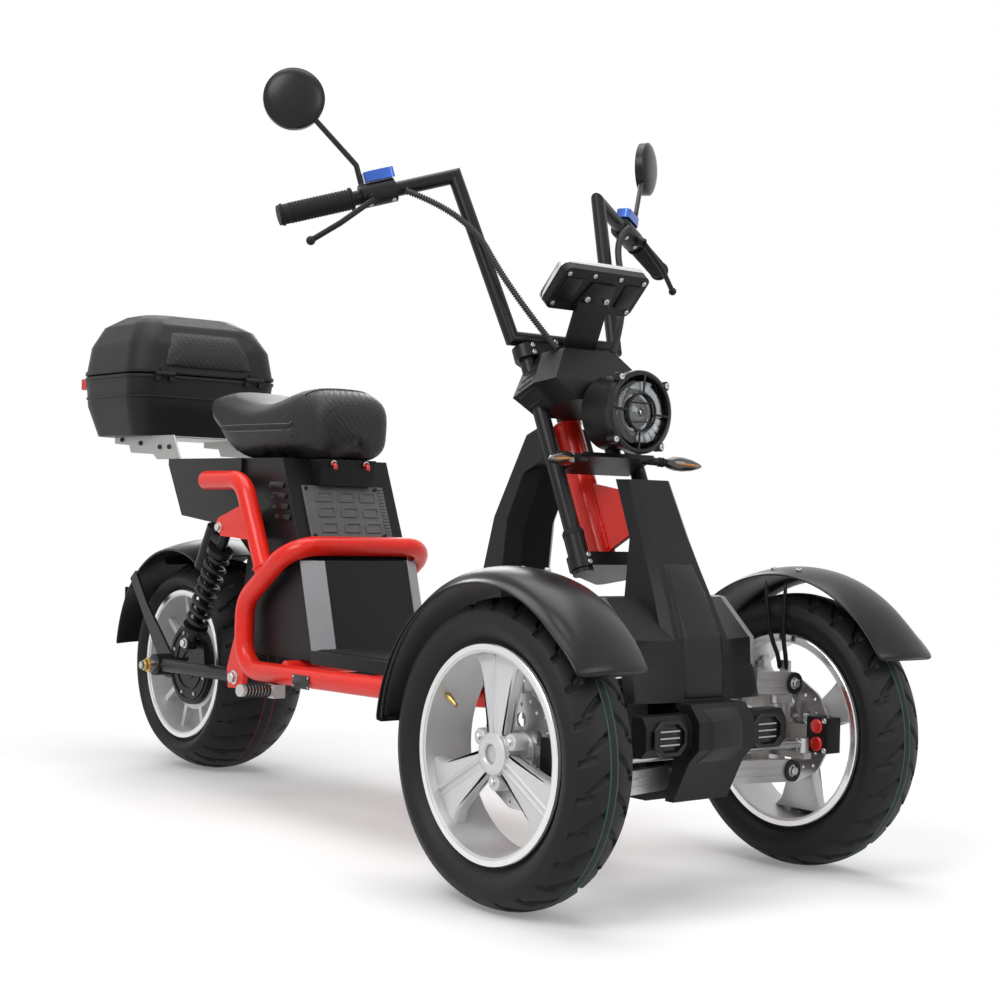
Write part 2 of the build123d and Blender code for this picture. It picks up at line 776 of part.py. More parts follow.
# Uprights: kingpin bosses between the arm ends
boss_low = arm_lower_z + 38.0
boss_high = arm_upper_z - 38.0
with BuildPart() as uprights:
    for side in (1, -1):
        y = side * kingpin_y
        for level in arm_levels:
            bar((aft(upright_half_depth), y, level), (aft(-upright_half_depth), y, level), 15)
        bar((front_axle_x, y, boss_low), (front_axle_x, y, boss_high), kingpin_boss_radius)
        back = y - side * 36
        for face, low, high in (
            (y - side * 21, arm_lower_z, arm_upper_z),
            (y - side * 8, boss_low, boss_high),
            (y, arm_lower_z - 13, arm_lower_z + 13),
            (y, arm_upper_z - 13, arm_upper_z + 13),
        ):
            block(aft(14), aft(-14), min(back, face), max(back, face), low, high)
        bar((front_axle_x, y, boss_low - 24), (front_axle_x, y, boss_high + 24),
            kingpin_radius + shaft_gap, mode=Mode.SUBTRACT)
finish(uprights, "uprights")

# Nose cover: a low skirt with two wings and a slim spine up to the headlight, sections by height
nose_low = 308.0
nose_wall = 6.0
skirt_sections = [
    # height, nose station, nose half width, side station, side half width, rear station, rear half width
    (nose_low, -88.0, 68.0, -76.0, 140.0, -62.0, 150.0),
    (362.0, -83.0, 67.0, -64.0, 138.0, -58.0, 156.0),
    (405.0, -78.0, 66.0, -60.0, 138.0, 30.0, 164.0),
    (468.0, -6.0, 62.0, 10.0, 140.0, 60.0, 172.0),
]
spine_sections = [
    (405.0, -78.0, 60.0, -62.0, 72.0, 24.0, 76.0),
    (470.0, -48.0, 52.0, -34.0, 64.0, 30.0, 70.0),
    (565.0, 0.0, 42.0, 10.0, 54.0, 34.0, 58.0),
    (661.0, 40.0, 32.0, 52.0, 46.0, 80.0, 50.0),
]


def add_nose(sections, wall, back, mode=Mode.ADD):
    """Add one nose form, drawn in by a wall and carried back past its open rear."""
    outlines = []
    for height, front, front_half, mid, mid_half, rear, rear_half in sections:
        half = [
            (aft(front + wall), front_half - wall / 2), (aft(mid + wall), mid_half - wall),
            (aft(rear + back), rear_half - wall),
        ]
        with BuildSketch(Plane.XY.offset(height)) as outline:
            with BuildLine():
                Polyline(*half, *[(x, -y) for x, y in reversed(half)], close=True)
            make_face()
        outlines.append(outline.sketch)
    loft(outlines, ruled=True, mode=mode)


with BuildPart() as nose_cover:
    add_nose(skirt_sections, 0, 0)
    add_nose(spine_sections, 0, 0)
    skirt_top, *skirt_widths = skirt_sections[-1]
    skirt_inside = [*skirt_sections[:-1], (skirt_top - nose_wall, *skirt_widths)]
    add_nose(skirt_inside, nose_wall, 12, mode=Mode.SUBTRACT)
    add_nose(spine_sections, nose_wall, 12, mode=Mode.SUBTRACT)
finish(nose_cover, "nose_cover")

# Bumper below the nose, carried on the carrier's face
bumper_top = nose_low - skin_gap
with BuildPart() as bumper:
    plate(
        [
            (aft(-84), bumper_top), (aft(-120), bumper_top), (aft(-140), 282), (aft(-140), 238),
            (aft(-118), 216), (aft(-84), 150), (aft(-66), 150), (aft(-84), 222),
        ],
        -62, 62,
    )
    block(aft(-upright_half_depth), aft(-90), -46, 46, 278, 298)
    for side in (1, -1):
        near = side * 62
        far = side * 158
        plate(
            [
                (aft(-86), 292), (aft(-112), 292), (aft(-122), 276), (aft(-122), 242), (aft(-108), 228),
                (aft(-86), 228),
            ],
            min(near, far), max(near, far),
        )
finish(bumper, "bumper")

# Steered front corners, by side
corner_sides = (("left", 1), ("right", -1))
for label, side in corner_sides:
    centre = Vector(front_axle_x, side * front_track / 2, front_tyre_radius)
    king = Vector(front_axle_x, side * kingpin_y, 0)
    disc_y = side * (front_track / 2 - disc_inset)
    web_near = side * (kingpin_y + web_inset)
    web_far = side * (kingpin_y + web_inset + web_thickness)
    hub_inner = centre.Y - side * (disc_inset - disc_thickness / 2)

    with BuildPart() as knuckle:
        bar((king.X, king.Y, boss_low - 14), (king.X, king.Y, boss_high + 14), kingpin_radius)
        for low, high in ((boss_low - 14, boss_low - skin_gap), (boss_high + skin_gap, boss_high + 14)):
            bar((king.X, king.Y, low), (king.X, king.Y, high), 14)
            block(aft(14), aft(-14), min(king.Y, web_far), max(king.Y, web_far), low, high)
        block(aft(web_half), aft(-web_half), min(web_near, web_far), max(web_near, web_far),
              boss_low - 14, 356)
        block(aft(0), aft(-caliper_back), min(web_near - side * 4, web_far - side * 2),
              max(web_near - side * 4, web_far - side * 2), 222, 250)
        bar((king.X, web_near, centre.Z), (king.X, centre.Y + side * 34, centre.Z), stub_radius)
        block(aft(-4), aft(-steer_arm_reach - 12), side * tie_rod_y - 9, side * tie_rod_y + 9,
              boss_low - 14, boss_low - 4)
    finish(knuckle, f"knuckle_{label}")

    with BuildPart() as fender:
        add_fender(centre, fender_radius, fender_width, fender_wall, fender_front_angle, fender_rear_angle)
        for station in (web_half - 2, 2 - web_half):
            inner_y = centre.Y - side * (fender_width / 2 - 3)
            tube(
                [
                    (aft(station), web_near - side * 4, 340), (aft(station), web_near - side * 4, 366),
                    (aft(2 * station), inner_y, 400), (aft(3 * station), inner_y, centre.Z + 266),
                ],
                4, 8,
            )
    finish(fender, f"fender_{label}")

    with BuildPart() as caliper:
        block(aft(-caliper_back), aft(-104), min(disc_y - side * 22, disc_y + side * 12),
              max(disc_y - side * 22, disc_y + side * 12), 206, 266)
        block(aft(-40), aft(-disc_radius - 2), disc_y - 4, disc_y + 4, 196, 276, mode=Mode.SUBTRACT)
    finish(caliper, f"caliper_{label}")

    with BuildPart() as front_rim:
        add_rim_barrel(centre, front_rim_width)
        bar((centre.X, hub_inner, centre.Z), (centre.X, centre.Y + side * 30, centre.Z), disc_hub_radius)
        for index in range(3):
            for twist in (-13, 13):
                angle = 90 + 120 * index + twist
                with BuildSketch(
                    Plane(origin=centre + Vector(0, side * 12, 0), x_dir=(1, 0, 0), z_dir=(0, side, 0))
                ) as spoke:
                    with Locations(Rotation(0, 0, angle) * Location((90, 0))):
                        Rectangle(132, 17)
                extrude(spoke.sketch, amount=16)
        bar((centre.X, centre.Y - 60, centre.Z), (centre.X, centre.Y + 60, centre.Z),
            stub_radius + shaft_gap, mode=Mode.SUBTRACT)
    finish(front_rim, f"front_rim_{label}")

    with BuildPart() as front_tyre:
        add_tyre(centre, front_tyre_radius, front_tyre_width, front_rim_width)
    finish(front_tyre, f"front_tyre_{label}")

    with BuildPart() as brake_disc:
        bar((centre.X, disc_y - disc_thickness / 2, centre.Z),
            (centre.X, disc_y + disc_thickness / 2, centre.Z), disc_radius)
        bar((centre.X, disc_y - 10, centre.Z), (centre.X, disc_y + 10, centre.Z), disc_hole_radius,
            mode=Mode.SUBTRACT)
    finish(brake_disc, f"brake_disc_{label}")

# Tie rod across the front, one ball joint at each steering arm
rod_x = aft(-steer_arm_reach)
with BuildPart() as tie_rod:
    bar((rod_x, -tie_rod_y, tie_rod_z + 16), (rod_x, tie_rod_y, tie_rod_z + 16), tie_rod_radius)
    for side in (1, -1):
        bar((rod_x, side * tie_rod_y, boss_low - 4 + skin_gap), (rod_x, side * tie_rod_y, tie_rod_z + 26), 11)
finish(tie_rod, "tie_rod")

# Fork: legs, lower bridge, stem and top clamp
with BuildPart() as fork:
    for side in (1, -1):
        v = side * fork_leg_spread
        bar(steer_point(fork_leg_offset, v, 0), steer_point(fork_leg_offset, v, fork_height),
            fork_upper_radius)
        bar(steer_point(fork_leg_offset, v, -8), steer_point(fork_leg_offset, v, fork_lower_length),
            fork_lower_radius)
    bar(steer_point(0, 0, 4), steer_point(0, 0, fork_height), stem_radius)
    for low, height in ((0, bridge_height), (fork_height - clamp_height, clamp_height)):
        with BuildSketch(steer_plane.offset(low)) as section:
            with Locations((0, 0)):
                Circle(26)
            with Locations((fork_leg_offset, fork_leg_spread), (fork_leg_offset, -fork_leg_spread)):
                Circle(fork_lower_radius + 4)
            make_hull()
        extrude(section.sketch, amount=height)
finish(fork, "fork")

# Handlebar with mitred corners, clamped on the fork's top
bar_mid = steer_point(bar_mid_ahead, 0, fork_height + bar_radius + 2)
with BuildPart() as handlebar:
    corners = [
        (aft(bar_end_aft), bar_end_y, bar_end_z), (aft(bar_corner_aft), bar_corner_y, bar_corner_z),
        (bar_mid.X, bar_clamp_half, bar_mid.Z),
    ]
    with BuildLine() as bar_path:
        Polyline(*corners, *[(x, -y, z) for x, y, z in reversed(corners)])
    with BuildSketch(Plane(bar_path.line @ 0, z_dir=bar_path.line % 0)) as bar_section:
        Circle(bar_radius)
    sweep(bar_section.sketch, path=bar_path.line, transition=Transition.RIGHT)
    for side in (1, -1):
        bar(steer_point(bar_mid_ahead, side * 34, fork_height),
            steer_point(bar_mid_ahead, side * 34, fork_height + bar_radius), 14)
finish(handlebar, "handlebar")

bar_out = (Vector(aft(bar_end_aft), bar_end_y, bar_end_z)
           - Vector(aft(bar_corner_aft), bar_corner_y, bar_corner_z)).normalized()
bar_corner = Vector(aft(bar_corner_aft), bar_corner_y, bar_corner_z)
bar_end = Vector(aft(bar_end_aft), bar_end_y, bar_end_z)
bar_up = (Vector(0, 0, 1) - bar_out * bar_out.Z).normalized()
lever_ahead = Vector(0.84, 0.26, -0.32).normalized()


def flip(point, side):
    """The same place on the given side of the vehicle."""
    return Vector(point.X, side * point.Y, point.Z)


with BuildPart() as grips:
    for side in (1, -1):
        bar(flip(bar_end - bar_out * grip_length, side), flip(bar_end + bar_out * 5, side), grip_radius)
        bar(flip(bar_end - bar_out * (grip_length + 1), side), flip(bar_end, side),
            bar_radius + skin_gap, mode=Mode.SUBTRACT)
finish(grips, "grips")

control_start = 112.0
control_length = 62.0
control_radius = 21.0
with BuildPart() as controls:
    for side in (1, -1):
        near = bar_corner + bar_out * control_start
        far = near + bar_out * control_length
        bar(flip(near, side), flip(far, side), control_radius)
        pivot = far + lever_ahead * 34 - bar_out * 14
        tip = Vector(aft(446), 428, 1052)
        bend = pivot * 0.45 + tip * 0.55 + lever_ahead * 8
        bar(flip(far - bar_out * 16, side), flip(pivot, side), 9)
        tube([flip(pivot, side), flip(bend, side), flip(tip, side)], 5, 30)
        with Locations(flip(tip, side)):
            Sphere(8)
        bar(flip(near - bar_out, side), flip(far + bar_out, side), bar_radius + skin_gap,
            mode=Mode.SUBTRACT)
finish(controls, "controls")

with BuildPart() as reservoir_caps:
    for side in (1, -1):
        base = bar_corner + bar_out * (control_start + 22) + bar_up * (control_radius + skin_gap)
        cap_plane = Plane(origin=flip(base, side), x_dir=flip(bar_out, side), z_dir=flip(bar_up, side))
        with BuildSketch(cap_plane) as cap:
            RectangleRounded(54, 30, 8)
        extrude(cap.sketch, amount=18)
finish(reservoir_caps, "reservoir_caps")

mirror_normal = Vector(cos(radians(mirror_yaw)), sin(radians(mirror_yaw)), 0)
mirror_across = Vector(0, 0, 1).cross(mirror_normal)
with BuildPart() as mirrors:
    for side in (1, -1):
        hub = Vector(aft(mirror_aft), mirror_y, mirror_z)
        root = bar_corner + bar_out * (control_start + 56) + bar_up * (control_radius + skin_gap)
        elbow = root + bar_up * 34
        back = hub + mirror_normal * 6 - mirror_across * 30 - Vector(0, 0, 26)
        bar(flip(hub, side), flip(hub + mirror_normal * 12, side), mirror_radius)
        tube([flip(root, side), flip(elbow, side), flip(back, side)], 5, 14)
finish(mirrors, "mirrors")

with BuildPart() as mirror_glass:
    for side in (1, -1):
        hub = Vector(aft(mirror_aft), mirror_y, mirror_z)
        bar(flip(hub - mirror_normal * 2, side), flip(hub, side), mirror_radius - 4)
finish(mirror_glass, "mirror_glass")

# Display on its bracket
display_centre = Vector(aft(208), 0, 1002)
display_normal = Vector(-0.72, 0, 0.69).normalized()
display_plane = Plane(origin=display_centre, x_dir=(0, 1, 0), z_dir=display_normal)
with BuildPart() as display:
    with BuildSketch(display_plane):
        RectangleRounded(196, 88, 14)
    extrude(amount=-24)
    strut(steer_point(69.8, 0, fork_height - clamp_height + 4), display_centre - display_normal * 16, 70, 7.4)
finish(display, "display")

with BuildPart() as display_screen:
    with BuildSketch(display_plane):
        RectangleRounded(184, 76, 10)
    extrude(amount=2)
finish(display_screen, "display_screen")

# Shroud in front of the fork, open for the legs
shroud_low = 286.0
shroud_high = fork_height - clamp_height - 2
shroud_rear = 31.0
shroud_sections = [
    # height on the column, front, half width
    (shroud_low, 108.0, 96.0),
    (shroud_low + 34, 116.0, 138.0),
    (shroud_high, 104.0, 88.0),
]
with BuildPart() as shroud:
    outlines = []
    for height, front, half in shroud_sections:
        with BuildSketch(steer_plane.offset(height)) as outline:
            with BuildLine():
                Polyline(
                    (shroud_rear, half), (front - 26, half), (front, half - 30), (front, 30 - half),
                    (front - 26, -half), (shroud_rear, -half),
                    close=True,
                )
            make_face()
        outlines.append(outline.sketch)
    loft(outlines, ruled=True)
    for side in (1, -1):
        v = side * fork_leg_spread
        bar(steer_point(fork_leg_offset, v, 0), steer_point(fork_leg_offset, v, fork_height + 20),
            fork_upper_radius + skin_gap, mode=Mode.SUBTRACT)
finish(shroud, "shroud")

# Headlight on its bracket between the fork legs, its lens, and the turn signals
lamp_centre = Vector(aft(79), 0, 775)
lamp_radius = 70.0
lamp_depth = 76.0
lamp_shelf = 180.0
signal_start = 108.0
signal_end = 176.0
signal_root = Vector(aft(138), 66, 697)
signal_tip = Vector(aft(104), signal_end, 690)
signal_out = (signal_tip - signal_root).normalized()
signal_base = signal_root + signal_out * (signal_start - signal_root.Y)
with BuildPart() as headlight:
    bar(lamp_centre - Vector(lamp_depth, 0, 0), lamp_centre - Vector(14, 0, 0), lamp_radius - 6)
    bar(lamp_centre - Vector(14, 0, 0), lamp_centre, lamp_radius)
    bar(lamp_centre - Vector(12, 0, 0), lamp_centre + Vector(1, 0, 0), lamp_radius - 8, mode=Mode.SUBTRACT)
    with BuildSketch(steer_plane.offset(lamp_shelf)) as shelf:
        with Locations((70, 0)):
            Rectangle(72, 2 * (fork_leg_spread - fork_upper_radius - skin_gap))
    extrude(shelf.sketch, amount=8)
    bar(steer_point(92, 0, lamp_shelf), steer_point(92, 0, lamp_shelf + 44), 13)
    for side in (1, -1):
        bar(flip(signal_root, side), flip(signal_base, side), 7)
finish(headlight, "headlight")

with BuildPart() as headlight_lens:
    bar(lamp_centre - Vector(12, 0, 0), lamp_centre - Vector(4, 0, 0), lamp_radius - 8 - skin_gap)
finish(headlight_lens, "headlight_lens")

with BuildPart() as turn_signals:
    for side in (1, -1):
        bar(flip(signal_base, side), flip(signal_tip, side), 10)
finish(turn_signals, "turn_signals")

# Cable conduits from the controls down to the shroud
with BuildPart() as cables:
    for side in (1, -1):
        start = bar_corner + bar_out * (control_start - 4) + Vector(26, 0, -6)
        tube(
            [
                flip(start, side), (aft(345), side * 172, 1120), (aft(266), side * 140, 985),
                steer_point(92, side * 66, shroud_high + 4),
            ],
            5.5, 40,
        )
finish(cables, "cables")
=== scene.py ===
"""Looks of a three-wheeled electric scooter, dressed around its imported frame.

Axes are the frame's own: X forward, Y to the rider's left, Z up. A Vector is a place in metres. Every plain
number that is a length is in millimetres, and a station is counted back from the front axle.
"""

from __future__ import annotations

import json
import logging
import math
from dataclasses import dataclass
from enum import Enum
from typing import Callable, Iterable, Sequence

import bmesh
import bpy
from mathutils import Matrix, Vector
from mathutils.bvhtree import BVHTree

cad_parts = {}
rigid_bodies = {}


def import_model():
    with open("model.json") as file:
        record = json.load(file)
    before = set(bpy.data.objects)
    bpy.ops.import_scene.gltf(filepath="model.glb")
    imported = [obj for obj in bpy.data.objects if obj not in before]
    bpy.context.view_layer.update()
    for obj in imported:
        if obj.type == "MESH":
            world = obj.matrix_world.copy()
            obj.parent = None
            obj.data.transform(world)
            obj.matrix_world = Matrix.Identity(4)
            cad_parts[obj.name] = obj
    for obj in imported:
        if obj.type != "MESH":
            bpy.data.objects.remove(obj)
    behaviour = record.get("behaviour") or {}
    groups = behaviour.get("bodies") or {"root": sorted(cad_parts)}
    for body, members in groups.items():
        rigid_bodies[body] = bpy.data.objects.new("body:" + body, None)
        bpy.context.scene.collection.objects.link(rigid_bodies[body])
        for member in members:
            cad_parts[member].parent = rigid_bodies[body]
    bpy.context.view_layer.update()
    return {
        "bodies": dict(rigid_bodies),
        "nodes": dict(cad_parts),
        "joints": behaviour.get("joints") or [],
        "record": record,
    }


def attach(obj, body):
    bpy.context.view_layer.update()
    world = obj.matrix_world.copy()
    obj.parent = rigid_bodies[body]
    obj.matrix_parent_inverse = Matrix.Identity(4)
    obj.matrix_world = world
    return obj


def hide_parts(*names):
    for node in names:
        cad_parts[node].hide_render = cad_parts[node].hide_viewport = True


log = logging.getLogger("scooter")
MM = 0.001
SIDES = (("left", 1), ("right", -1))
BOTH = (1, -1)
AHEAD = Vector((1, 0, 0))
WHITE = (1, 1, 1, 1)
SHADE_ALL = 180.0
Point = Sequence[float]
Outline = Sequence[tuple[float, float]]
Head = tuple[Point, Point, float]


class Body(str, Enum):
    """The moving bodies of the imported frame."""

    CHASSIS = "chassis"
    STEERING = "steering"
    KNUCKLE_LEFT = "knuckle_left"
    KNUCKLE_RIGHT = "knuckle_right"
    WHEEL_LEFT = "front_wheel_left"
    WHEEL_RIGHT = "front_wheel_right"
    WHEEL_REAR = "rear_wheel"
    LID = "case_lid"


class Grain(str, Enum):
    """Surface patterns, each a shader node group."""

    FINE = "fine_grain"
    LEATHER = "leather_grain"
    TWILL = "twill_weave"
    BRUSHED = "brushed_metal"
    CAST = "cast_skin"
    DUST = "settled_dust"


@dataclass(frozen=True)
class Layout:
    """Main stations of the vehicle, as the part's source has them."""

    axle_x: float = 825.52
    wheelbase: float = 1462.0
    half_track: float = 328.0
    front_radius: float = 236.4
    rear_radius: float = 238.4
    front_width: float = 120.0
    rear_width: float = 215.0
    flange_radius: float = 166.5
    rake: float = math.radians(24)
    foot_aft: float = 147.0
    foot_z: float = 491.0

    @property
    def ahead(self) -> Vector:
        """Direction across the raked column, forward."""
        return Vector((math.cos(self.rake), 0, math.sin(self.rake)))

    @property
    def rise(self) -> Vector:
        """Direction up the raked column."""
        return Vector((-math.sin(self.rake), 0, math.cos(self.rake)))

    def aft(self, station: float, y: float = 0.0, z: float = 0.0) -> Vector:
        """Place at a station behind the front axle."""
        return Vector((self.axle_x * MM - station * MM, y * MM, z * MM))

    def column(self, ahead: float, left: float, up: float) -> Vector:
        """Place in the raked steering column's own frame, from its foot."""
        foot = self.aft(self.foot_aft, 0, self.foot_z)
        return foot + (self.ahead * ahead + self.rise * up) * MM + Vector((0, left * MM, 0))

    def front_centre(self, side: int) -> Vector:
        """Middle of a front wheel."""
        return self.aft(0, side * self.half_track, self.front_radius)

    def rear_centre(self) -> Vector:
        """Middle of the rear wheel."""
        return self.aft(self.wheelbase, 0, self.rear_radius)


PLAN = Layout()


class Graph:
    """A short way to add and join the nodes of one tree."""

    def __init__(self, tree: bpy.types.NodeTree) -> None:
        """Hold the tree."""
        self.tree = tree

    def add(self, kind: str, inputs: dict | None = None, **settings) -> bpy.types.Node:
        """Add a node.

        Args:
            kind: Blender's name of the node.
            inputs: values or sockets for its inputs, by name or index.
            **settings: properties of the node itself.

        Returns:
            The new node.
        """
        node = self.tree.nodes.new(kind)
        for key, value in settings.items():
            setattr(node, key, value)
        for key, value in (inputs or {}).items():
            if isinstance(value, bpy.types.NodeSocket):
                self.tree.links.new(value, node.inputs[key])
            else:
                node.inputs[key].default_value = value
        return node

    def math(self, operation: str, a, b=0.0, c=0.0) -> bpy.types.NodeSocket:
        """Add a math node and give its output."""
        return self.add("ShaderNodeMath", {0: a, 1: b, 2: c}, operation=operation).outputs[0]

    def times(self, a, b) -> bpy.types.NodeSocket:
        """Multiply two values."""
        return self.math("MULTIPLY", a, b)

    def plus(self, a, b) -> bpy.types.NodeSocket:
        """Add two values."""
        return self.math("ADD", a, b)

    def mix(self, share, a, b) -> bpy.types.NodeSocket:
        """Blend two colours by a share."""
        return self.add("ShaderNodeMix", {0: share, 6: a, 7: b}, data_type="RGBA").outputs[2]

    def noise(self, vector, scale, detail: float) -> bpy.types.NodeSocket:
        """Add a noise texture and give its value."""
        node = self.add("ShaderNodeTexNoise", {"Vector": vector, "Scale": scale, "Detail": detail})
        return node.outputs["Fac"]

    def height_of(self, vector) -> bpy.types.NodeSocket:
        """Third part of a vector."""
        return self.add("ShaderNodeSeparateXYZ", {0: vector}).outputs["Z"]


class Effects:
    """Shader node groups that several finishes share."""

    def __init__(self) -> None:
        """Build every group once."""
        fills = {Grain.FINE: self._fine, Grain.LEATHER: self._leather, Grain.TWILL: self._twill,
                 Grain.BRUSHED: self._brushed, Grain.CAST: self._cast, Grain.DUST: self._dust}
        self.groups = {grain: self._group(grain.value, fill) for grain, fill in fills.items()}

    @staticmethod
    def _group(name: str, fill: Callable) -> bpy.types.NodeTree:
        """Make a group with a Vector and Scale in, a Height and Tone out."""
        tree = bpy.data.node_groups.new(name, "ShaderNodeTree")
        tree.interface.new_socket("Vector", in_out="INPUT", socket_type="NodeSocketVector")
        tree.interface.new_socket("Scale", in_out="INPUT", socket_type="NodeSocketFloat")
        tree.interface.new_socket("Height", in_out="OUTPUT", socket_type="NodeSocketFloat")
        tree.interface.new_socket("Tone", in_out="OUTPUT", socket_type="NodeSocketFloat")
        graph = Graph(tree)
        source = graph.add("NodeGroupInput")
        height, tone = fill(graph, source.outputs["Vector"], source.outputs["Scale"])
        graph.add("NodeGroupOutput", {"Height": height, "Tone": tone})
        return tree

    @staticmethod
    def _fine(g: Graph, vector, scale):
        """Moulded grain: fine bumps with a slow change of tone."""
        return g.noise(vector, scale, 3.0), g.noise(vector, g.times(scale, 0.02), 5.0)

    @staticmethod
    def _leather(g: Graph, vector, scale):
        """Pebbled vinyl: cells with soft creases between them."""
        warp = g.add("ShaderNodeTexNoise", {"Vector": vector, "Scale": g.times(scale, 0.6)})
        bent = g.add("ShaderNodeVectorMath", {0: warp.outputs["Color"], 1: (0.004, 0.004, 0.004), 2: vector},
                     operation="MULTIPLY_ADD")
        cells = g.add("ShaderNodeTexVoronoi", {"Vector": bent.outputs[0], "Scale": scale},
                      feature="DISTANCE_TO_EDGE")
        pebble = g.add("ShaderNodeMapRange", {0: cells.outputs["Distance"], 2: 0.22},
                       interpolation_type="SMOOTHSTEP")
        return pebble.outputs[0], g.noise(vector, g.times(scale, 0.03), 5.0)

    @staticmethod
    def _twill(g: Graph, vector, scale):
        """Carbon-look weave: two threads over, two under, across X and across Y plus Z."""
        split = g.add("ShaderNodeSeparateXYZ", {0: vector})
        a = g.times(split.outputs["X"], scale)
        b = g.times(g.plus(split.outputs["Y"], split.outputs["Z"]), scale)
        step = g.plus(g.math("FLOOR", a), g.math("FLOOR", b))
        over = g.math("LESS_THAN", g.math("FLOORED_MODULO", step, 4.0), 1.5)
        warp, weft = (g.math("SINE", g.times(g.math("FRACT", way), math.pi)) for way in (a, b))
        height = g.plus(g.times(warp, over), g.times(weft, g.math("SUBTRACT", 1.0, over)))
        return height, g.plus(g.times(over, 0.75), g.times(height, 0.25))

    @staticmethod
    def _brushed(g: Graph, vector, scale):
        """Long fine scratches along X with a slow change of tone."""
        drawn = g.add("ShaderNodeVectorMath", {0: vector, 1: (0.03, 1.0, 1.0)}, operation="MULTIPLY")
        lines = g.noise(drawn.outputs[0], scale, 6.0)
        slow = g.noise(vector, g.times(scale, 0.03), 4.0)
        return lines, g.plus(g.times(lines, 0.6), g.times(slow, 0.4))

    @staticmethod
    def _cast(g: Graph, vector, scale):
        """Cast and painted metal: soft unevenness with few small pits."""
        swell = g.noise(vector, g.times(scale, 0.25), 3.0)
        speck = g.noise(vector, scale, 2.0)
        height = g.plus(g.times(swell, 0.5), g.times(speck, 0.5))
        return height, g.noise(vector, g.times(scale, 0.03), 5.0)

    @staticmethod
    def _dust(g: Graph, vector, scale):
        """Dust: more on faces that look up and low on the vehicle, broken by noise."""
        normal = g.add("ShaderNodeNewGeometry").outputs["Normal"]
        up = g.add("ShaderNodeMapRange", {0: g.height_of(normal)})
        low = g.add("ShaderNodeMapRange", {0: g.height_of(vector), 2: 0.5, 3: 1.0, 4: 0.25})
        patch = g.noise(vector, scale, 6.0)
        return patch, g.times(g.times(up.outputs[0], low.outputs[0]), patch)


@dataclass(frozen=True)
class Finish:
    """One procedural material.

    Attributes:
        name: name of the material.
        slot: the record's material slot that it belongs to.
        colour: base colour, linear.
        roughness: middle roughness.
        metallic: share of metal.
        coat: weight of a clear coat.
        grain: the pattern of its surface.
        scale: the pattern's cells per metre.
        bump: strength of the pattern in relief.
        spread: share by which the colour varies.
        dust: share of dust in the colour.
        sheen: weight of a soft sheen.
        transmission: share of light let through.
        glow: strength of its own light.
        shine: strength of its plain reflection, 0.5 as usual.
    """

    name: str
    slot: str
    colour: tuple[float, float, float]
    roughness: float
    metallic: float = 0.0
    coat: float = 0.0
    grain: Grain = Grain.FINE
    scale: float = 900.0
    bump: float = 0.12
    spread: float = 0.18
    dust: float = 0.0
    sheen: float = 0.0
    transmission: float = 0.0
    glow: float = 0.0
    shine: float = 0.5

    rough_swing = 0.12
    relief = 1.0
    coat_roughness = 0.08
    dust_colour = (0.25, 0.23, 0.20, 1)
    dust_patches = 9.0
    dust_roughness = 0.3

    def make(self, effects: Effects) -> bpy.types.Material:
        """Build the material.

        Args:
            effects: the shared shader groups.

        Returns:
            The new material.
        """
        material = bpy.data.materials.new(self.name)
        g = empty_graph(material)
        coord = g.add("ShaderNodeTexCoord").outputs["Object"]
        pattern = g.add("ShaderNodeGroup", {"Vector": coord, "Scale": self.scale},
                        node_tree=effects.groups[self.grain])
        tone = pattern.outputs["Tone"]
        dark = (*[c * (1 - self.spread) for c in self.colour], 1)
        light = (*[min(1.0, c * (1 + self.spread)) for c in self.colour], 1)
        colour = g.mix(tone, dark, light)
        rough = g.math("MULTIPLY_ADD", tone, self.rough_swing, self.roughness - self.rough_swing / 2)
        if self.dust:
            layer = g.add("ShaderNodeGroup", {"Vector": coord, "Scale": self.dust_patches},
                          node_tree=effects.groups[Grain.DUST])
            mask = g.times(layer.outputs["Tone"], self.dust)
            colour = g.mix(mask, colour, self.dust_colour)
            rough = g.plus(rough, g.times(mask, self.dust_roughness))
        bump = g.add("ShaderNodeBump", {"Strength": self.bump, "Distance": self.relief * MM,
                                        "Height": pattern.outputs["Height"]})
        shader = g.add("ShaderNodeBsdfPrincipled", {
            "Base Color": colour, "Roughness": rough, "Metallic": self.metallic, "Normal": bump.outputs[0],
            "Coat Weight": self.coat, "Coat Roughness": self.coat_roughness, "Sheen Weight": self.sheen,
            "Transmission Weight": self.transmission, "Specular IOR Level": self.shine,
        })
        if self.glow:
            shader.inputs["Emission Color"].default_value = (*self.colour, 1)
            shader.inputs["Emission Strength"].default_value = self.glow
        g.add("ShaderNodeOutputMaterial", {"Surface": shader.outputs[0]})
        return material


def empty_graph(owner: bpy.types.Material | bpy.types.World) -> Graph:
    """Graph of a material or world with every node taken out."""
    owner.use_nodes = True
    owner.node_tree.nodes.clear()
    return Graph(owner.node_tree)


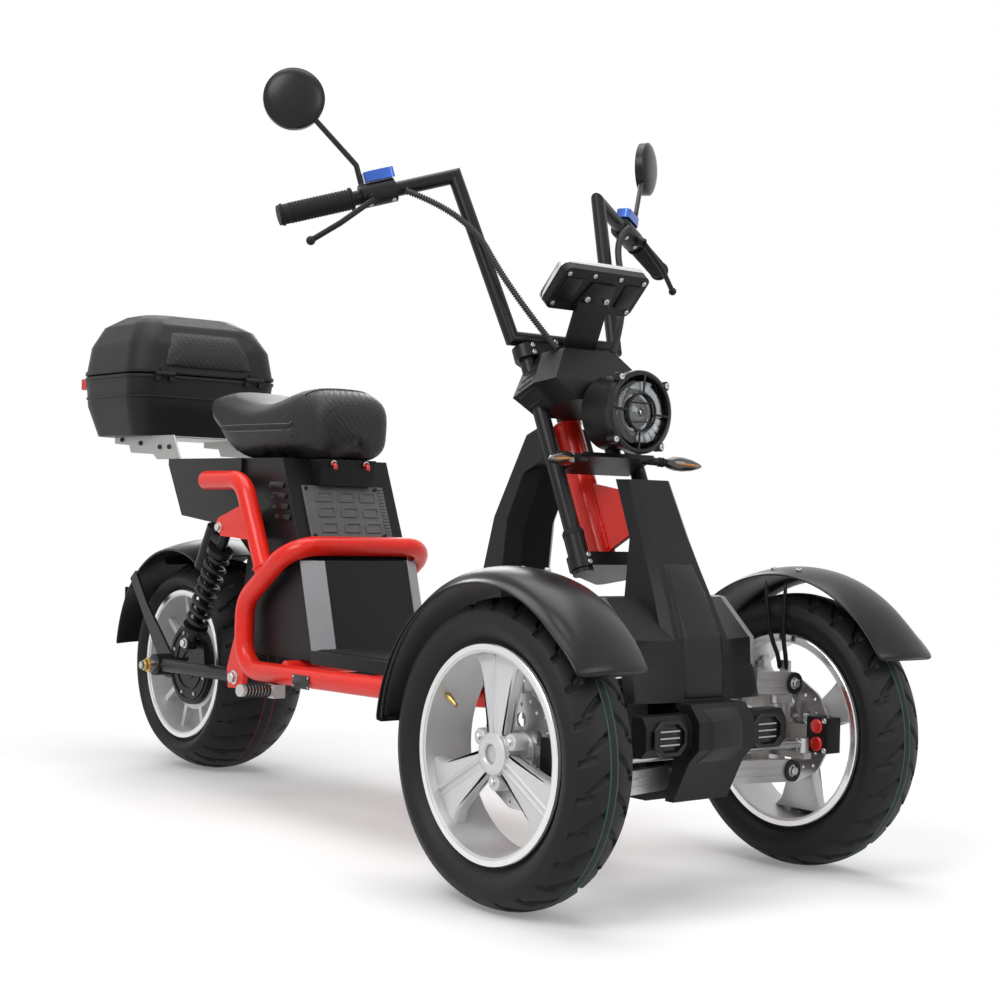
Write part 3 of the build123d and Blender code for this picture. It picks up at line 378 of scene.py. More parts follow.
class Paints:
    """Every finish of the scooter, made when first asked for."""

    TABLE = (
        Finish("red_gloss", "red_paint", (0.86, 0.018, 0.007), 0.34, coat=0.22, shine=0.3, grain=Grain.CAST,
               scale=260, bump=0.03, spread=0.10, dust=0.10),
        Finish("black_powder", "black_paint", (0.008, 0.008, 0.009), 0.34, shine=0.22, scale=1400, bump=0.08,
               dust=0.03),
        Finish("black_moulded", "black_plastic", (0.009, 0.009, 0.010), 0.40, shine=0.20, scale=1600,
               bump=0.10, dust=0.03),
        Finish("black_satin", "black_plastic", (0.008, 0.008, 0.009), 0.30, shine=0.28, scale=1800, bump=0.04,
               dust=0.03),
        Finish("case_shell", "black_plastic", (0.011, 0.011, 0.012), 0.46, shine=0.22, grain=Grain.LEATHER,
               bump=0.18, dust=0.03),
        Finish("weave_vinyl", "seat_vinyl", (0.012, 0.012, 0.013), 0.40, shine=0.30, grain=Grain.TWILL,
               scale=260, bump=0.35, spread=0.45, sheen=0.03),
        Finish("smooth_vinyl", "seat_vinyl", (0.011, 0.011, 0.012), 0.42, shine=0.25, grain=Grain.LEATHER,
               scale=750, bump=0.25, sheen=0.03, dust=0.03),
        Finish("pale_thread", "seat_vinyl", (0.24, 0.24, 0.23), 0.7, scale=2500, bump=0.2),
        Finish("grip_rubber", "grip_rubber", (0.010, 0.010, 0.010), 0.60, shine=0.2, scale=1800, bump=0.2),
        Finish("tyre_rubber", "tyre_rubber", (0.010, 0.010, 0.011), 0.55, shine=0.25, scale=700, bump=0.20,
               dust=0.08),
        Finish("line_teal", "tyre_rubber", (0.012, 0.075, 0.066), 0.6, scale=700),
        Finish("line_red", "tyre_rubber", (0.16, 0.015, 0.015), 0.6, scale=700),
        Finish("wheel_silver", "wheel_silver", (0.66, 0.66, 0.67), 0.36, metallic=0.35, coat=0.2,
               grain=Grain.CAST, scale=420, bump=0.08, spread=0.08, dust=0.08),
        Finish("machined_lip", "wheel_silver", (0.74, 0.74, 0.75), 0.20, metallic=1.0, grain=Grain.BRUSHED,
               bump=0.05, spread=0.06),
        Finish("cast_aluminium", "bare_aluminium", (0.52, 0.51, 0.50), 0.40, metallic=0.9, grain=Grain.CAST,
               scale=700, bump=0.25, spread=0.14, dust=0.15),
        Finish("sheet_aluminium", "bare_aluminium", (0.40, 0.40, 0.39), 0.42, metallic=0.85,
               grain=Grain.BRUSHED, scale=700, bump=0.10, spread=0.12),
        Finish("disc_steel", "steel", (0.50, 0.50, 0.50), 0.30, metallic=1.0, grain=Grain.BRUSHED,
               spread=0.15),
        Finish("bolt_zinc", "steel", (0.56, 0.56, 0.55), 0.32, metallic=1.0, grain=Grain.CAST, bump=0.08,
               spread=0.15),
        Finish("bolt_black", "black_paint", (0.02, 0.02, 0.02), 0.38, metallic=0.6, grain=Grain.CAST,
               bump=0.1),
        Finish("brass", "steel", (0.55, 0.37, 0.13), 0.30, metallic=1.0, grain=Grain.CAST, bump=0.1),
        Finish("grey_strip", "grey_trim", (0.20, 0.20, 0.21), 0.34, metallic=0.55, grain=Grain.BRUSHED,
               bump=0.08, spread=0.15),
        Finish("grey_panel", "grey_trim", (0.105, 0.105, 0.110), 0.42, scale=1600, bump=0.15),
        Finish("blue_cap", "blue_cap", (0.02, 0.10, 0.48), 0.25, metallic=0.5, coat=0.6, bump=0.05),
        Finish("red_cap", "red_lens", (0.62, 0.02, 0.015), 0.28, metallic=0.4, coat=0.5, bump=0.06),
        Finish("red_lens", "red_lens", (0.70, 0.02, 0.015), 0.16, coat=0.8, scale=300, bump=0.05),
        Finish("amber_lens", "amber_lens", (0.60, 0.24, 0.04), 0.22, coat=0.6, scale=300, bump=0.05),
        Finish("smoked_lens", "amber_lens", (0.03, 0.022, 0.016), 0.12, coat=1.0, scale=300, bump=0.03),
        Finish("lamp_chrome", "lamp_glass", (0.34, 0.34, 0.35), 0.16, metallic=1.0, grain=Grain.CAST,
               scale=300, bump=0.03, spread=0.05),
        Finish("lamp_glass", "lamp_glass", (0.92, 0.95, 0.97), 0.04, transmission=1.0, scale=300, bump=0.01,
               spread=0.01),
        Finish("lamp_glow", "lamp_glass", (0.50, 0.52, 0.52), 0.30, scale=300, bump=0.02, spread=0.05,
               glow=0.04),
        Finish("mirror_silver", "mirror_silver", (0.82, 0.84, 0.86), 0.03, metallic=1.0, scale=200, bump=0.0,
               spread=0.02),
        Finish("screen_glass", "screen_glass", (0.006, 0.006, 0.008), 0.06, coat=1.0, scale=200, bump=0.0),
        Finish("plate_black", "grey_trim", (0.03, 0.03, 0.03), 0.35, metallic=0.4, grain=Grain.BRUSHED,
               bump=0.06),
        Finish("cable_jacket", "black_plastic", (0.015, 0.015, 0.016), 0.55, scale=1600, bump=0.1),
    )

    def __init__(self) -> None:
        """Index the finishes by name."""
        self.effects = Effects()
        self.finishes = {f.name: f for f in self.TABLE}
        self.made: dict[str, bpy.types.Material] = {}

    def get(self, name: str) -> bpy.types.Material:
        """Material of a finish, made once."""
        if name not in self.made:
            self.made[name] = self.finishes[name].make(self.effects)
        return self.made[name]

    def slot(self, name: str) -> str:
        """Record slot of a finish."""
        return self.finishes[name].slot


class Studio:
    """Camera at the photograph's place, pale floor, soft lamps; lengths here are in metres."""

    azimuth = math.radians(51.03)
    elevation = math.radians(-1.495)
    roll = math.radians(1.572)
    place = Vector((2.8705, -2.004, 0.603))
    sensor = 36.0
    lens = 62.4
    shift = (-0.0060, -0.0343)
    floor_reach = 40.0
    floor_colour = (0.86, 0.86, 0.86, 1)
    shadow_reach = (1.15, 1.9)
    fill = 0.22
    aim = Vector((0, 0, 0.5))
    lamps = (
        # name, place, size, power
        ("key", (1.6, -3.2, 3.4), 2.2, 95.0),
        ("front", (4.2, 0.6, 2.2), 2.0, 40.0),
        ("top", (-0.2, 0.2, 4.2), 3.2, 95.0),
        ("rim", (-3.4, 2.2, 2.8), 2.2, 55.0),
    )

    def camera(self) -> None:
        """Make the camera and give it to the scene."""
        data = bpy.data.cameras.new("photo_camera")
        data.sensor_width = self.sensor
        data.lens = self.lens
        data.shift_x, data.shift_y = self.shift
        camera = bpy.data.objects.new("photo_camera", data)
        a, e = self.azimuth, self.elevation
        back = Vector((math.sin(a) * math.cos(e), -math.cos(a) * math.cos(e), math.sin(e)))
        level = Vector((math.cos(a), math.sin(a), 0))
        rise = back.cross(level)
        right = level * math.cos(self.roll) + rise * math.sin(self.roll)
        up = rise * math.cos(self.roll) - level * math.sin(self.roll)
        frame = Matrix((right, up, back)).transposed().to_4x4()
        camera.matrix_world = Matrix.Translation(self.place) @ frame
        bpy.context.scene.collection.objects.link(camera)
        bpy.context.scene.camera = camera

    def floor(self) -> None:
        """Lay the pale floor, white to the camera except for the shadow on it."""
        mesh = bpy.data.meshes.new("floor")
        corners = [(x * self.floor_reach, y * self.floor_reach, 0)
                   for x, y in ((-1, -1), (1, -1), (1, 1), (-1, 1))]
        mesh.from_pydata(corners, [], [(0, 1, 2, 3)])
        floor = bpy.data.objects.new("floor", mesh)
        material = bpy.data.materials.new("pale_floor")
        g = empty_graph(material)
        matt = g.add("ShaderNodeBsdfDiffuse", {"Color": self.floor_colour})
        lit = g.add("ShaderNodeEmission", {"Color": WHITE, "Strength": self.fill})
        near = g.add("ShaderNodeAddShader", {0: matt.outputs[0], 1: lit.outputs[0]})
        clear = g.add("ShaderNodeEmission", {"Color": WHITE, "Strength": 1.0})
        coord = g.add("ShaderNodeTexCoord").outputs["Object"]
        away = g.add("ShaderNodeVectorMath", {0: coord}, operation="LENGTH").outputs["Value"]
        fade = g.add("ShaderNodeMapRange", {0: away, 1: self.shadow_reach[0], 2: self.shadow_reach[1]},
                     interpolation_type="SMOOTHSTEP")
        far = g.add("ShaderNodeMixShader", {0: fade.outputs[0], 1: near.outputs[0], 2: clear.outputs[0]})
        pick = g.add("ShaderNodeMixShader", {0: self._seen(g), 1: matt.outputs[0], 2: far.outputs[0]})
        g.add("ShaderNodeOutputMaterial", {"Surface": pick.outputs[0]})
        mesh.materials.append(material)
        bpy.context.scene.collection.objects.link(floor)

    @staticmethod
    def _seen(g: Graph) -> bpy.types.NodeSocket:
        """Share of rays that see the background itself."""
        path = g.add("ShaderNodeLightPath")
        shiny = g.math("MAXIMUM", path.outputs["Is Glossy Ray"], path.outputs["Is Transmission Ray"])
        return g.math("MAXIMUM", path.outputs["Is Camera Ray"], shiny)

    def light(self) -> None:
        """Set the lamps and the even world."""
        for name, place, size, power in self.lamps:
            data = bpy.data.lights.new(name, "AREA")
            data.size = size
            data.energy = power
            lamp = bpy.data.objects.new(name, data)
            lamp.location = place
            lamp.rotation_euler = (self.aim - Vector(place)).to_track_quat("-Z", "Y").to_euler()
            bpy.context.scene.collection.objects.link(lamp)
        world = bpy.data.worlds.new("studio")
        g = empty_graph(world)
        dim = g.add("ShaderNodeBackground", {"Color": WHITE, "Strength": self.fill})
        white = g.add("ShaderNodeBackground", {"Color": WHITE, "Strength": 1.0})
        pick = g.add("ShaderNodeMixShader", {0: self._seen(g), 1: dim.outputs[0], 2: white.outputs[0]})
        g.add("ShaderNodeOutputWorld", {"Surface": pick.outputs[0]})
        bpy.context.scene.world = world
        bpy.context.scene.view_settings.view_transform = "Standard"


def polar(radius: float, share: float) -> tuple[float, float]:
    """Place on a circle about the origin, at a share of a full turn."""
    angle = math.tau * share
    return radius * math.cos(angle), radius * math.sin(angle)


def circle(x: float, y: float, radius: float, count: int) -> list[tuple[float, float]]:
    """Outline of a circle."""
    return [(x + dx, y + dy) for dx, dy in (polar(radius, i / count) for i in range(count))]


def rectangle(half_x: float, half_y: float, x: float = 0.0, y: float = 0.0) -> list[tuple[float, float]]:
    """Outline of a rectangle about a middle."""
    return [(x + sx * half_x, y + sy * half_y) for sx, sy in ((-1, -1), (1, -1), (1, 1), (-1, 1))]


def rounded(half_x: float, half_y: float, radius: float, steps: int = 6) -> list[tuple[float, float]]:
    """Outline of a rectangle with round corners, about the origin."""
    points = []
    for quarter, (sx, sy) in enumerate(((1, 1), (-1, 1), (-1, -1), (1, -1))):
        for i in range(steps + 1):
            dx, dy = polar(radius, (quarter + i / steps) / 4)
            points.append((sx * (half_x - radius) + dx, sy * (half_y - radius) + dy))
    return points


def shrunk(outline: Outline, x_share: float, y_share: float) -> list[tuple[float, float]]:
    """An outline drawn in about the origin."""
    return [(x * x_share, y * y_share) for x, y in outline]


def collar(inner: float, outer: float, low: float, high: float) -> Outline:
    """Profile of a plain ring."""
    return [(inner, low), (inner, high), (outer, high), (outer, low)]


def ridge(inner: float, outer: float, middle: float, foot: float, crest: float) -> Outline:
    """Profile of a ring with slanted flanks, its half widths given at foot and crest."""
    return [(inner, middle - foot), (outer, middle - crest), (outer, middle + crest), (inner, middle + foot)]


def smooth(share: float) -> float:
    """Soft step from 0 to 1."""
    share = min(max(share, 0.0), 1.0)
    return share * share * (3 - 2 * share)


def mirrored(place: Vector, side: int) -> Vector:
    """The same place or direction on the given side."""
    return Vector((place.x, side * place.y, place.z))


def spread(axis: Vector, *stops: float) -> list[Vector]:
    """Steps along a direction, at stops in millimetres."""
    return [axis * (stop * MM) for stop in stops]


def axis_frame(origin: Point, axis: Point, hint: Point = (0.0, 0.0, 1.0)) -> Matrix:
    """Frame at an origin with its Z along an axis.

    Args:
        origin: the frame's place.
        axis: direction of its Z.
        hint: rough direction of its Y.

    Returns:
        The frame's matrix.
    """
    z = Vector(axis).normalized()
    y = Vector(hint) - z * Vector(hint).dot(z)
    if y.length < 1e-4:
        y = z.orthogonal()
    y.normalize()
    return Matrix.Translation(origin) @ Matrix((y.cross(z), y, z)).transposed().to_4x4()


def raised(frame: Matrix, lift: float) -> Matrix:
    """A frame moved along its own Z."""
    return frame @ Matrix.Translation((0, 0, lift * MM))


def modify(piece: bpy.types.Object, kind: str, **settings) -> bpy.types.Modifier:
    """Add a modifier to a piece and set it up."""
    modifier = piece.modifiers.new(kind.lower(), kind)
    for key, value in settings.items():
        setattr(modifier, key, value)
    return modifier


def baked(piece: bpy.types.Object) -> bpy.types.Mesh:
    """Mesh of a piece with its modifiers worked in."""
    bpy.context.view_layer.update()
    return bpy.data.meshes.new_from_object(piece.evaluated_get(bpy.context.evaluated_depsgraph_get()))


def linked(name: str, data: bpy.types.ID) -> bpy.types.Object:
    """New object in the scene."""
    piece = bpy.data.objects.new(name, data)
    bpy.context.scene.collection.objects.link(piece)
    return piece


def curve_through(name: str, places: Sequence[Vector], kind: str) -> bpy.types.Curve:
    """Curve data with one open spline of a kind through or near places."""
    curve = bpy.data.curves.new(name, "CURVE")
    curve.dimensions = "3D"
    spline = curve.splines.new(kind)
    spline.points.add(len(places) - 1)
    for point, place in zip(spline.points, places):
        point.co = (*place, 1)
    return curve


def settle(piece: bpy.types.Object, body: Body, paint: str, paints: Paints, sharp: float,
           replaces: Iterable[str] = ()) -> bpy.types.Object:
    """Shade, paint and hang a finished piece on its body."""
    piece.data.shade_smooth()
    if sharp < SHADE_ALL:
        piece.data.set_sharp_from_angle(angle=math.radians(sharp))
    piece.data.materials.clear()
    piece.data.materials.append(paints.get(paint))
    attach(piece, body.value)
    paints.slot(paint)
    if replaces:
        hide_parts(*replaces)
    log.info("piece %s on %s in %s", piece.name, body.value, paint)
    return piece


class Form:
    """Faces of one piece, gathered in a bmesh in the frame's own metres."""

    merge_distance = 0.001

    def __init__(self) -> None:
        """Start with no faces."""
        self.mesh = bmesh.new()

    def rings(self, rings: Sequence[Sequence[Vector]], caps: bool = True, loop: bool = False) -> Form:
        """Skin a row of closed point rings.

        Args:
            rings: rows of points, all of one length.
            caps: whether the first and last rings are filled.
            loop: whether the last ring joins the first.

        Returns:
            This form.
        """
        rows = [[self.mesh.verts.new(p) for p in ring] for ring in rings]
        count = len(rows[0])
        pairs = list(zip(rows, rows[1:])) + ([(rows[-1], rows[0])] if loop else [])
        for low, high in pairs:
            for i in range(count):
                j = (i + 1) % count
                self.mesh.faces.new((low[i], low[j], high[j], high[i]))
        if caps and not loop:
            self.mesh.faces.new(list(reversed(rows[0])))
            self.mesh.faces.new(rows[-1])
        return self

    def lathe(self, profile: Outline, origin: Point, axis: Point, segments: int, caps: bool = False) -> Form:
        """Turn a profile of (radius, height) about an axis, closed on itself or with flat caps."""
        frame = axis_frame(origin, axis)
        rows = []
        for radius, height in profile:
            ring = (polar(radius * MM, i / segments) for i in range(segments))
            rows.append([frame @ Vector((x, y, height * MM)) for x, y in ring])
        return self.rings(rows, caps=caps, loop=not caps)

    def tube(self, points: Sequence[Vector], radius: float | Sequence[float], sides: int) -> Form:
        """Skin a round tube along points, of one radius or with its own radius at each."""
        normal = None
        rows = []
        for i, p in enumerate(points):
            way = (points[min(i + 1, len(points) - 1)] - points[max(i - 1, 0)]).normalized()
            if normal is None:
                normal = way.orthogonal().normalized()
            normal = (normal - way * normal.dot(way)).normalized()
            cross = way.cross(normal)
            r = radius[i] if isinstance(radius, Sequence) else radius
            ring = (polar(r * MM, k / sides) for k in range(sides))
            rows.append([p + normal * x + cross * y for x, y in ring])
        return self.rings(rows)

    def prism(self, outline: Outline, frame: Matrix, depth: float) -> Form:
        """Raise an outline drawn in a frame's own plane by a depth along its normal."""
        return self.rings([[frame @ (Vector((x, y, z)) * MM) for x, y in outline] for z in (0, depth)])

    def sheet(self, loops: Sequence[Outline], frame: Matrix, depth: float) -> Form:
        """Raise a flat outline with holes, the outline first, by a depth along a frame's normal."""
        edges = []
        for loop in loops:
            verts = [self.mesh.verts.new(frame @ (Vector((x, y, 0)) * MM)) for x, y in loop]
            edges += [self.mesh.edges.new((a, b)) for a, b in zip(verts, verts[1:] + verts[:1])]
        filled = bmesh.ops.triangle_fill(self.mesh, use_beauty=True, edges=edges)
        faces = [f for f in filled["geom"] if isinstance(f, bmesh.types.BMFace)]
        grown = bmesh.ops.extrude_face_region(self.mesh, geom=faces, use_keep_orig=True)
        verts = [v for v in grown["geom"] if isinstance(v, bmesh.types.BMVert)]
        bmesh.ops.translate(self.mesh, vec=frame.to_3x3() @ Vector((0, 0, depth * MM)), verts=verts)
        return self

    def to_mesh(self, name: str) -> bpy.types.Mesh:
        """Turn the faces into mesh data and let the bmesh go."""
        bmesh.ops.recalc_face_normals(self.mesh, faces=self.mesh.faces[:])
        mesh = bpy.data.meshes.new(name)
        self.mesh.to_mesh(mesh)
        self.mesh.free()
        return mesh

    def emit(self, name: str, body: Body, paint: str, paints: Paints, bevel: float = 0.0, subdiv: int = 0,
             sharp: float = 38.0, replaces: Iterable[str] = ()) -> bpy.types.Object:
        """Turn the faces into a piece that rides on a body.

        Args:
            name: the piece's name.
            body: the body that carries it.
            paint: name of its finish.
            paints: the finishes.
            bevel: width of the rounded edges.
            subdiv: levels of subdivision.
            sharp: angle past which an edge shades sharp or is rounded, in degrees.
            replaces: CAD nodes that the piece stands for.

        Returns:
            The new object.
        """
        bmesh.ops.remove_doubles(self.mesh, verts=self.mesh.verts[:], dist=self.merge_distance * MM)
        piece = linked(name, self.to_mesh(name))
        if bevel:
            modify(piece, "BEVEL", width=bevel * MM, segments=2, limit_method="ANGLE",
                   angle_limit=math.radians(sharp))
        if subdiv:
            modify(piece, "SUBSURF", levels=subdiv, render_levels=subdiv)
        return settle(piece, body, paint, paints, SHADE_ALL if subdiv or bevel else sharp, replaces)


class Repeats:
    """Geometry Nodes trees for what repeats or follows a path; their inputs are in metres."""

    def __init__(self, paints: Paints) -> None:
        """Build the trees once."""
        self.paints = paints
        self.heads = self._tree("set_heads", {"Head": "Object"}, self._heads)
        self.coil = self._tree("wind_coil", {
            "Turns": "Float", "Radius": "Float", "Height": "Float", "Wire": "Float", "Place": "Vector",
            "Turn": "Vector"}, self._coil)
        self.thread = self._tree("sew_thread", {"Spacing": "Float", "Length": "Float", "Wire": "Float"},
                                 self._thread)
        self.conduit = self._tree("ribbed_conduit", {"Wire": "Float", "Pitch": "Float", "Depth": "Float"},
                                  self._conduit)

    @staticmethod
    def _tree(name: str, inputs: dict[str, str], fill: Callable) -> bpy.types.NodeTree:
        """Make a tree with named inputs that ends in real faces and a material."""
        tree = bpy.data.node_groups.new(name, "GeometryNodeTree")
        for key, kind in {"Geometry": "Geometry", **inputs, "Paint": "Material"}.items():
            tree.interface.new_socket(key, in_out="INPUT", socket_type=f"NodeSocket{kind}")
        tree.interface.new_socket("Geometry", in_out="OUTPUT", socket_type="NodeSocketGeometry")
        g = Graph(tree)
        given = g.add("NodeGroupInput").outputs
        real = g.add("GeometryNodeRealizeInstances", {0: fill(g, given)})
        painted = g.add("GeometryNodeSetMaterial", {"Geometry": real.outputs[0], "Material": given["Paint"]})
        g.add("NodeGroupOutput", {0: painted.outputs[0]})
        return tree

    @staticmethod
    def _heads(g: Graph, given) -> bpy.types.NodeSocket:
        """One head at each point, turned to the point's own way and size."""
        head = g.add("GeometryNodeObjectInfo", {"Object": given["Head"]}, transform_space="ORIGINAL")
        way = g.add("GeometryNodeInputNamedAttribute", {"Name": "way"}, data_type="FLOAT_VECTOR")
        size = g.add("GeometryNodeInputNamedAttribute", {"Name": "size"}, data_type="FLOAT")
        turn = g.add("FunctionNodeAlignRotationToVector", {"Vector": way.outputs[0]}, axis="Z")
        put = g.add("GeometryNodeInstanceOnPoints", {
            "Points": given["Geometry"], "Instance": head.outputs["Geometry"], "Rotation": turn.outputs[0],
            "Scale": size.outputs[0]})
        return put.outputs[0]

    @staticmethod
    def _coil(g: Graph, given) -> bpy.types.NodeSocket:
        """A round wire wound into a coil spring."""
        spiral = g.add("GeometryNodeCurveSpiral", {
            "Resolution": 28, "Rotations": given["Turns"], "Start Radius": given["Radius"],
            "End Radius": given["Radius"], "Height": given["Height"]})
        wire = g.add("GeometryNodeCurvePrimitiveCircle", {"Resolution": 10, "Radius": given["Wire"]})
        skin = g.add("GeometryNodeCurveToMesh", {
            "Curve": spiral.outputs[0], "Profile Curve": wire.outputs[0], "Fill Caps": True})
        moved = g.add("GeometryNodeTransform", {
            "Geometry": skin.outputs[0], "Translation": given["Place"], "Rotation": given["Turn"]})
        return moved.outputs[0]

    @staticmethod
    def _thread(g: Graph, given) -> bpy.types.NodeSocket:
        """Short stitches along a curve."""
        points = g.add("GeometryNodeCurveToPoints", {"Curve": given["Geometry"], "Length": given["Spacing"]},
                       mode="LENGTH")
        stitch = g.add("GeometryNodeMeshCylinder", {
            "Vertices": 6, "Radius": given["Wire"], "Depth": given["Length"]})
        turn = g.add("FunctionNodeAlignRotationToVector", {"Vector": points.outputs["Tangent"]}, axis="Z")
        put = g.add("GeometryNodeInstanceOnPoints", {
            "Points": points.outputs["Points"], "Instance": stitch.outputs["Mesh"],
            "Rotation": turn.outputs[0]})
        return put.outputs[0]

    @staticmethod
    def _conduit(g: Graph, given) -> bpy.types.NodeSocket:
        """A ribbed conduit along a curve, four sections to each rib."""
        fine = g.add("GeometryNodeResampleCurve", {
            "Curve": given["Geometry"], "Length": g.times(given["Pitch"], 0.25)}, mode="LENGTH")
        along = g.add("GeometryNodeSplineParameter").outputs["Length"]
        wave = g.math("SINE", g.times(g.math("DIVIDE", along, given["Pitch"]), math.tau))
        swell = g.math("MULTIPLY_ADD", wave, given["Depth"], 1.0)
        sized = g.add("GeometryNodeSetCurveRadius", {"Curve": fine.outputs[0], "Radius": swell})
        wire = g.add("GeometryNodeCurvePrimitiveCircle", {"Resolution": 12, "Radius": given["Wire"]})
        skin = g.add("GeometryNodeCurveToMesh", {
            "Curve": sized.outputs[0], "Profile Curve": wire.outputs[0], "Scale": swell, "Fill Caps": True})
        return skin.outputs[0]

    def run(self, tree: bpy.types.NodeTree, source: bpy.types.ID, name: str, paint: str,
            **values) -> bpy.types.Object:
        """Run a tree on a mesh or curve and keep its result as a plain mesh.

        Args:
            tree: the tree to run.
            source: the mesh or curve data it starts from.
            name: name of the new object.
            paint: its finish.
            **values: the tree's inputs by name.

        Returns:
            The new object, which rides on nothing yet.
        """
        holder = linked(f"{name}_source", source)
        modifier = modify(holder, "NODES", node_group=tree)
        keys = {s.name: s.identifier for s in tree.interface.items_tree if s.in_out == "INPUT"}
        for key, value in {**values, "Paint": self.paints.get(paint)}.items():
            modifier[keys[key]] = value
        mesh = baked(holder)
        mesh.name = name
        bpy.data.objects.remove(holder)
        return linked(name, mesh)


class Fasteners:
    """Screw and bolt heads, set by one tree from points with a way and a size."""

    FLANGE = ((0.001, 0.0), (1.0, 0.0), (1.0, 0.16), (0.80, 0.24))
    HEXAGON = ((0.78, 0.2), (0.78, 0.66), (0.66, 0.78))
    CAP = ((1.0, 0.0), (1.0, 0.60), (0.86, 0.74), (0.52, 0.74), (0.50, 0.30))
    sharp = 30.0

    def __init__(self, paints: Paints, repeats: Repeats) -> None:
        """Make a flanged hex head and a round socket head once, both of one millimetre's radius."""
        self.paints = paints
        self.repeats = repeats
        parts = {"hex": ((self.FLANGE, 12), (self.HEXAGON, 6)), "socket": ((self.CAP, 12),)}
        self.shapes = {}
        for shape, turned in parts.items():
            form = Form()
            for profile, segments in turned:
                form.lathe(profile, (0, 0, 0), (0, 0, 1), segments, caps=True)
            self.shapes[shape] = bpy.data.objects.new(f"{shape}_head", form.to_mesh(f"{shape}_head"))

    def put(self, name: str, body: Body, paint: str, shape: str, heads: Sequence[Head]) -> None:
        """Set heads at points.

        Args:
            name: the piece's name.
            body: the body that carries them.
            paint: their finish.
            shape: hex or socket.
            heads: place, way and radius of each.
        """
        mesh = bpy.data.meshes.new(name)
        mesh.from_pydata([tuple(h[0]) for h in heads], [], [])
        mesh.attributes.new("way", "FLOAT_VECTOR", "POINT")
        mesh.attributes.new("size", "FLOAT", "POINT")
        way, size = mesh.attributes["way"].data, mesh.attributes["size"].data
        for i, (_, direction, radius) in enumerate(heads):
            way[i].vector = Vector(direction).normalized()
            size[i].value = radius
        piece = self.repeats.run(self.repeats.heads, mesh, name, paint, Head=self.shapes[shape])
        settle(piece, body, paint, self.paints, self.sharp)


class Bodywork:
    """Finishes of the CAD nodes, with softened edges."""

    PAINT_OF = {
        "red_gloss": ("frame", "head_tube"),
        "black_powder": ("front_post", "swingarm", "tail_plates", "fork", "handlebar", "front_carrier",
                         "caliper_left", "caliper_right", "shocks", "hub_motor"),
        "black_moulded": ("deck", "battery_box", "seat_tower", "latch_box", "nose_cover", "bumper", "shroud",
                          "headlight", "display", "controls", "case_latch"),
        "black_satin": ("rear_fender", "mirrors"),
        "case_shell": ("case_base", "case_lid"),
        "grey_strip": ("box_trims",),
        "grey_panel": ("tower_panel",),
        "grip_rubber": ("grips",),
        "sheet_aluminium": ("case_brackets",),
        "cast_aluminium": ("foot_pegs", "front_arms", "uprights", "knuckle_left", "knuckle_right"),
        "wheel_silver": ("front_rim_left", "front_rim_right", "rear_rim"),
        "tyre_rubber": ("front_tyre_left", "front_tyre_right", "rear_tyre"),
        "disc_steel": ("brake_disc_left", "brake_disc_right", "rear_axle", "tie_rod"),
        "lamp_glass": ("headlight_lens",),
        "amber_lens": ("turn_signals",),
        "red_lens": ("case_reflectors",),
        "mirror_silver": ("mirror_glass",),
        "screen_glass": ("display_screen",),
        "blue_cap": ("reservoir_caps",),
        "smooth_vinyl": ("seat",),
        "cable_jacket": ("cables",),
        "bolt_black": ("shock_springs",),
    }
    edge_width = 1.6
    edge_angle = math.radians(33)
    weld_distance = 0.02

    def __init__(self, paints: Paints, nodes: dict[str, bpy.types.Object]) -> None:
        """Hold the finishes and the CAD nodes."""
        self.paints = paints
        self.nodes = nodes

    def dress(self) -> None:
        """Paint every CAD node and soften its edges."""
        weld = self._weld_tree()
        for paint, names in self.PAINT_OF.items():
            for name in names:
                node = self.nodes[name]
                node.data.materials.clear()
                node.data.materials.append(self.paints.get(paint))
                modify(node, "NODES", node_group=weld)
                modify(node, "BEVEL", width=self.edge_width * MM, segments=2, limit_method="ANGLE",
                       angle_limit=self.edge_angle, harden_normals=True)
                self.paints.slot(paint)

    def _weld_tree(self) -> bpy.types.NodeTree:
        """Tree that joins a CAD node's loose triangles and shades them by angle."""
        tree = bpy.data.node_groups.new("join_facets", "GeometryNodeTree")
        for way in ("INPUT", "OUTPUT"):
            tree.interface.new_socket("Geometry", in_out=way, socket_type="NodeSocketGeometry")
        g = Graph(tree)
        source = g.add("NodeGroupInput").outputs[0]
        joined = g.add("GeometryNodeMergeByDistance", {
            "Geometry": source, "Distance": self.weld_distance * MM})
        angle = g.add("GeometryNodeInputMeshEdgeAngle").outputs[0]
        sharp = g.add("FunctionNodeCompare", {0: angle, 1: self.edge_angle}, operation="GREATER_THAN")
        shaded = g.add("GeometryNodeSetMeshNormal", {
            "Mesh": joined.outputs[0], "Edge Sharpness": sharp.outputs[0]}, mode="SHARPNESS")
        g.add("NodeGroupOutput", {0: shaded.outputs[0]})
        return tree


@dataclass(frozen=True)
class Workshop:
    """The makers that every dresser shares."""

    paints: Paints
    repeats: Repeats
    bolts: Fasteners


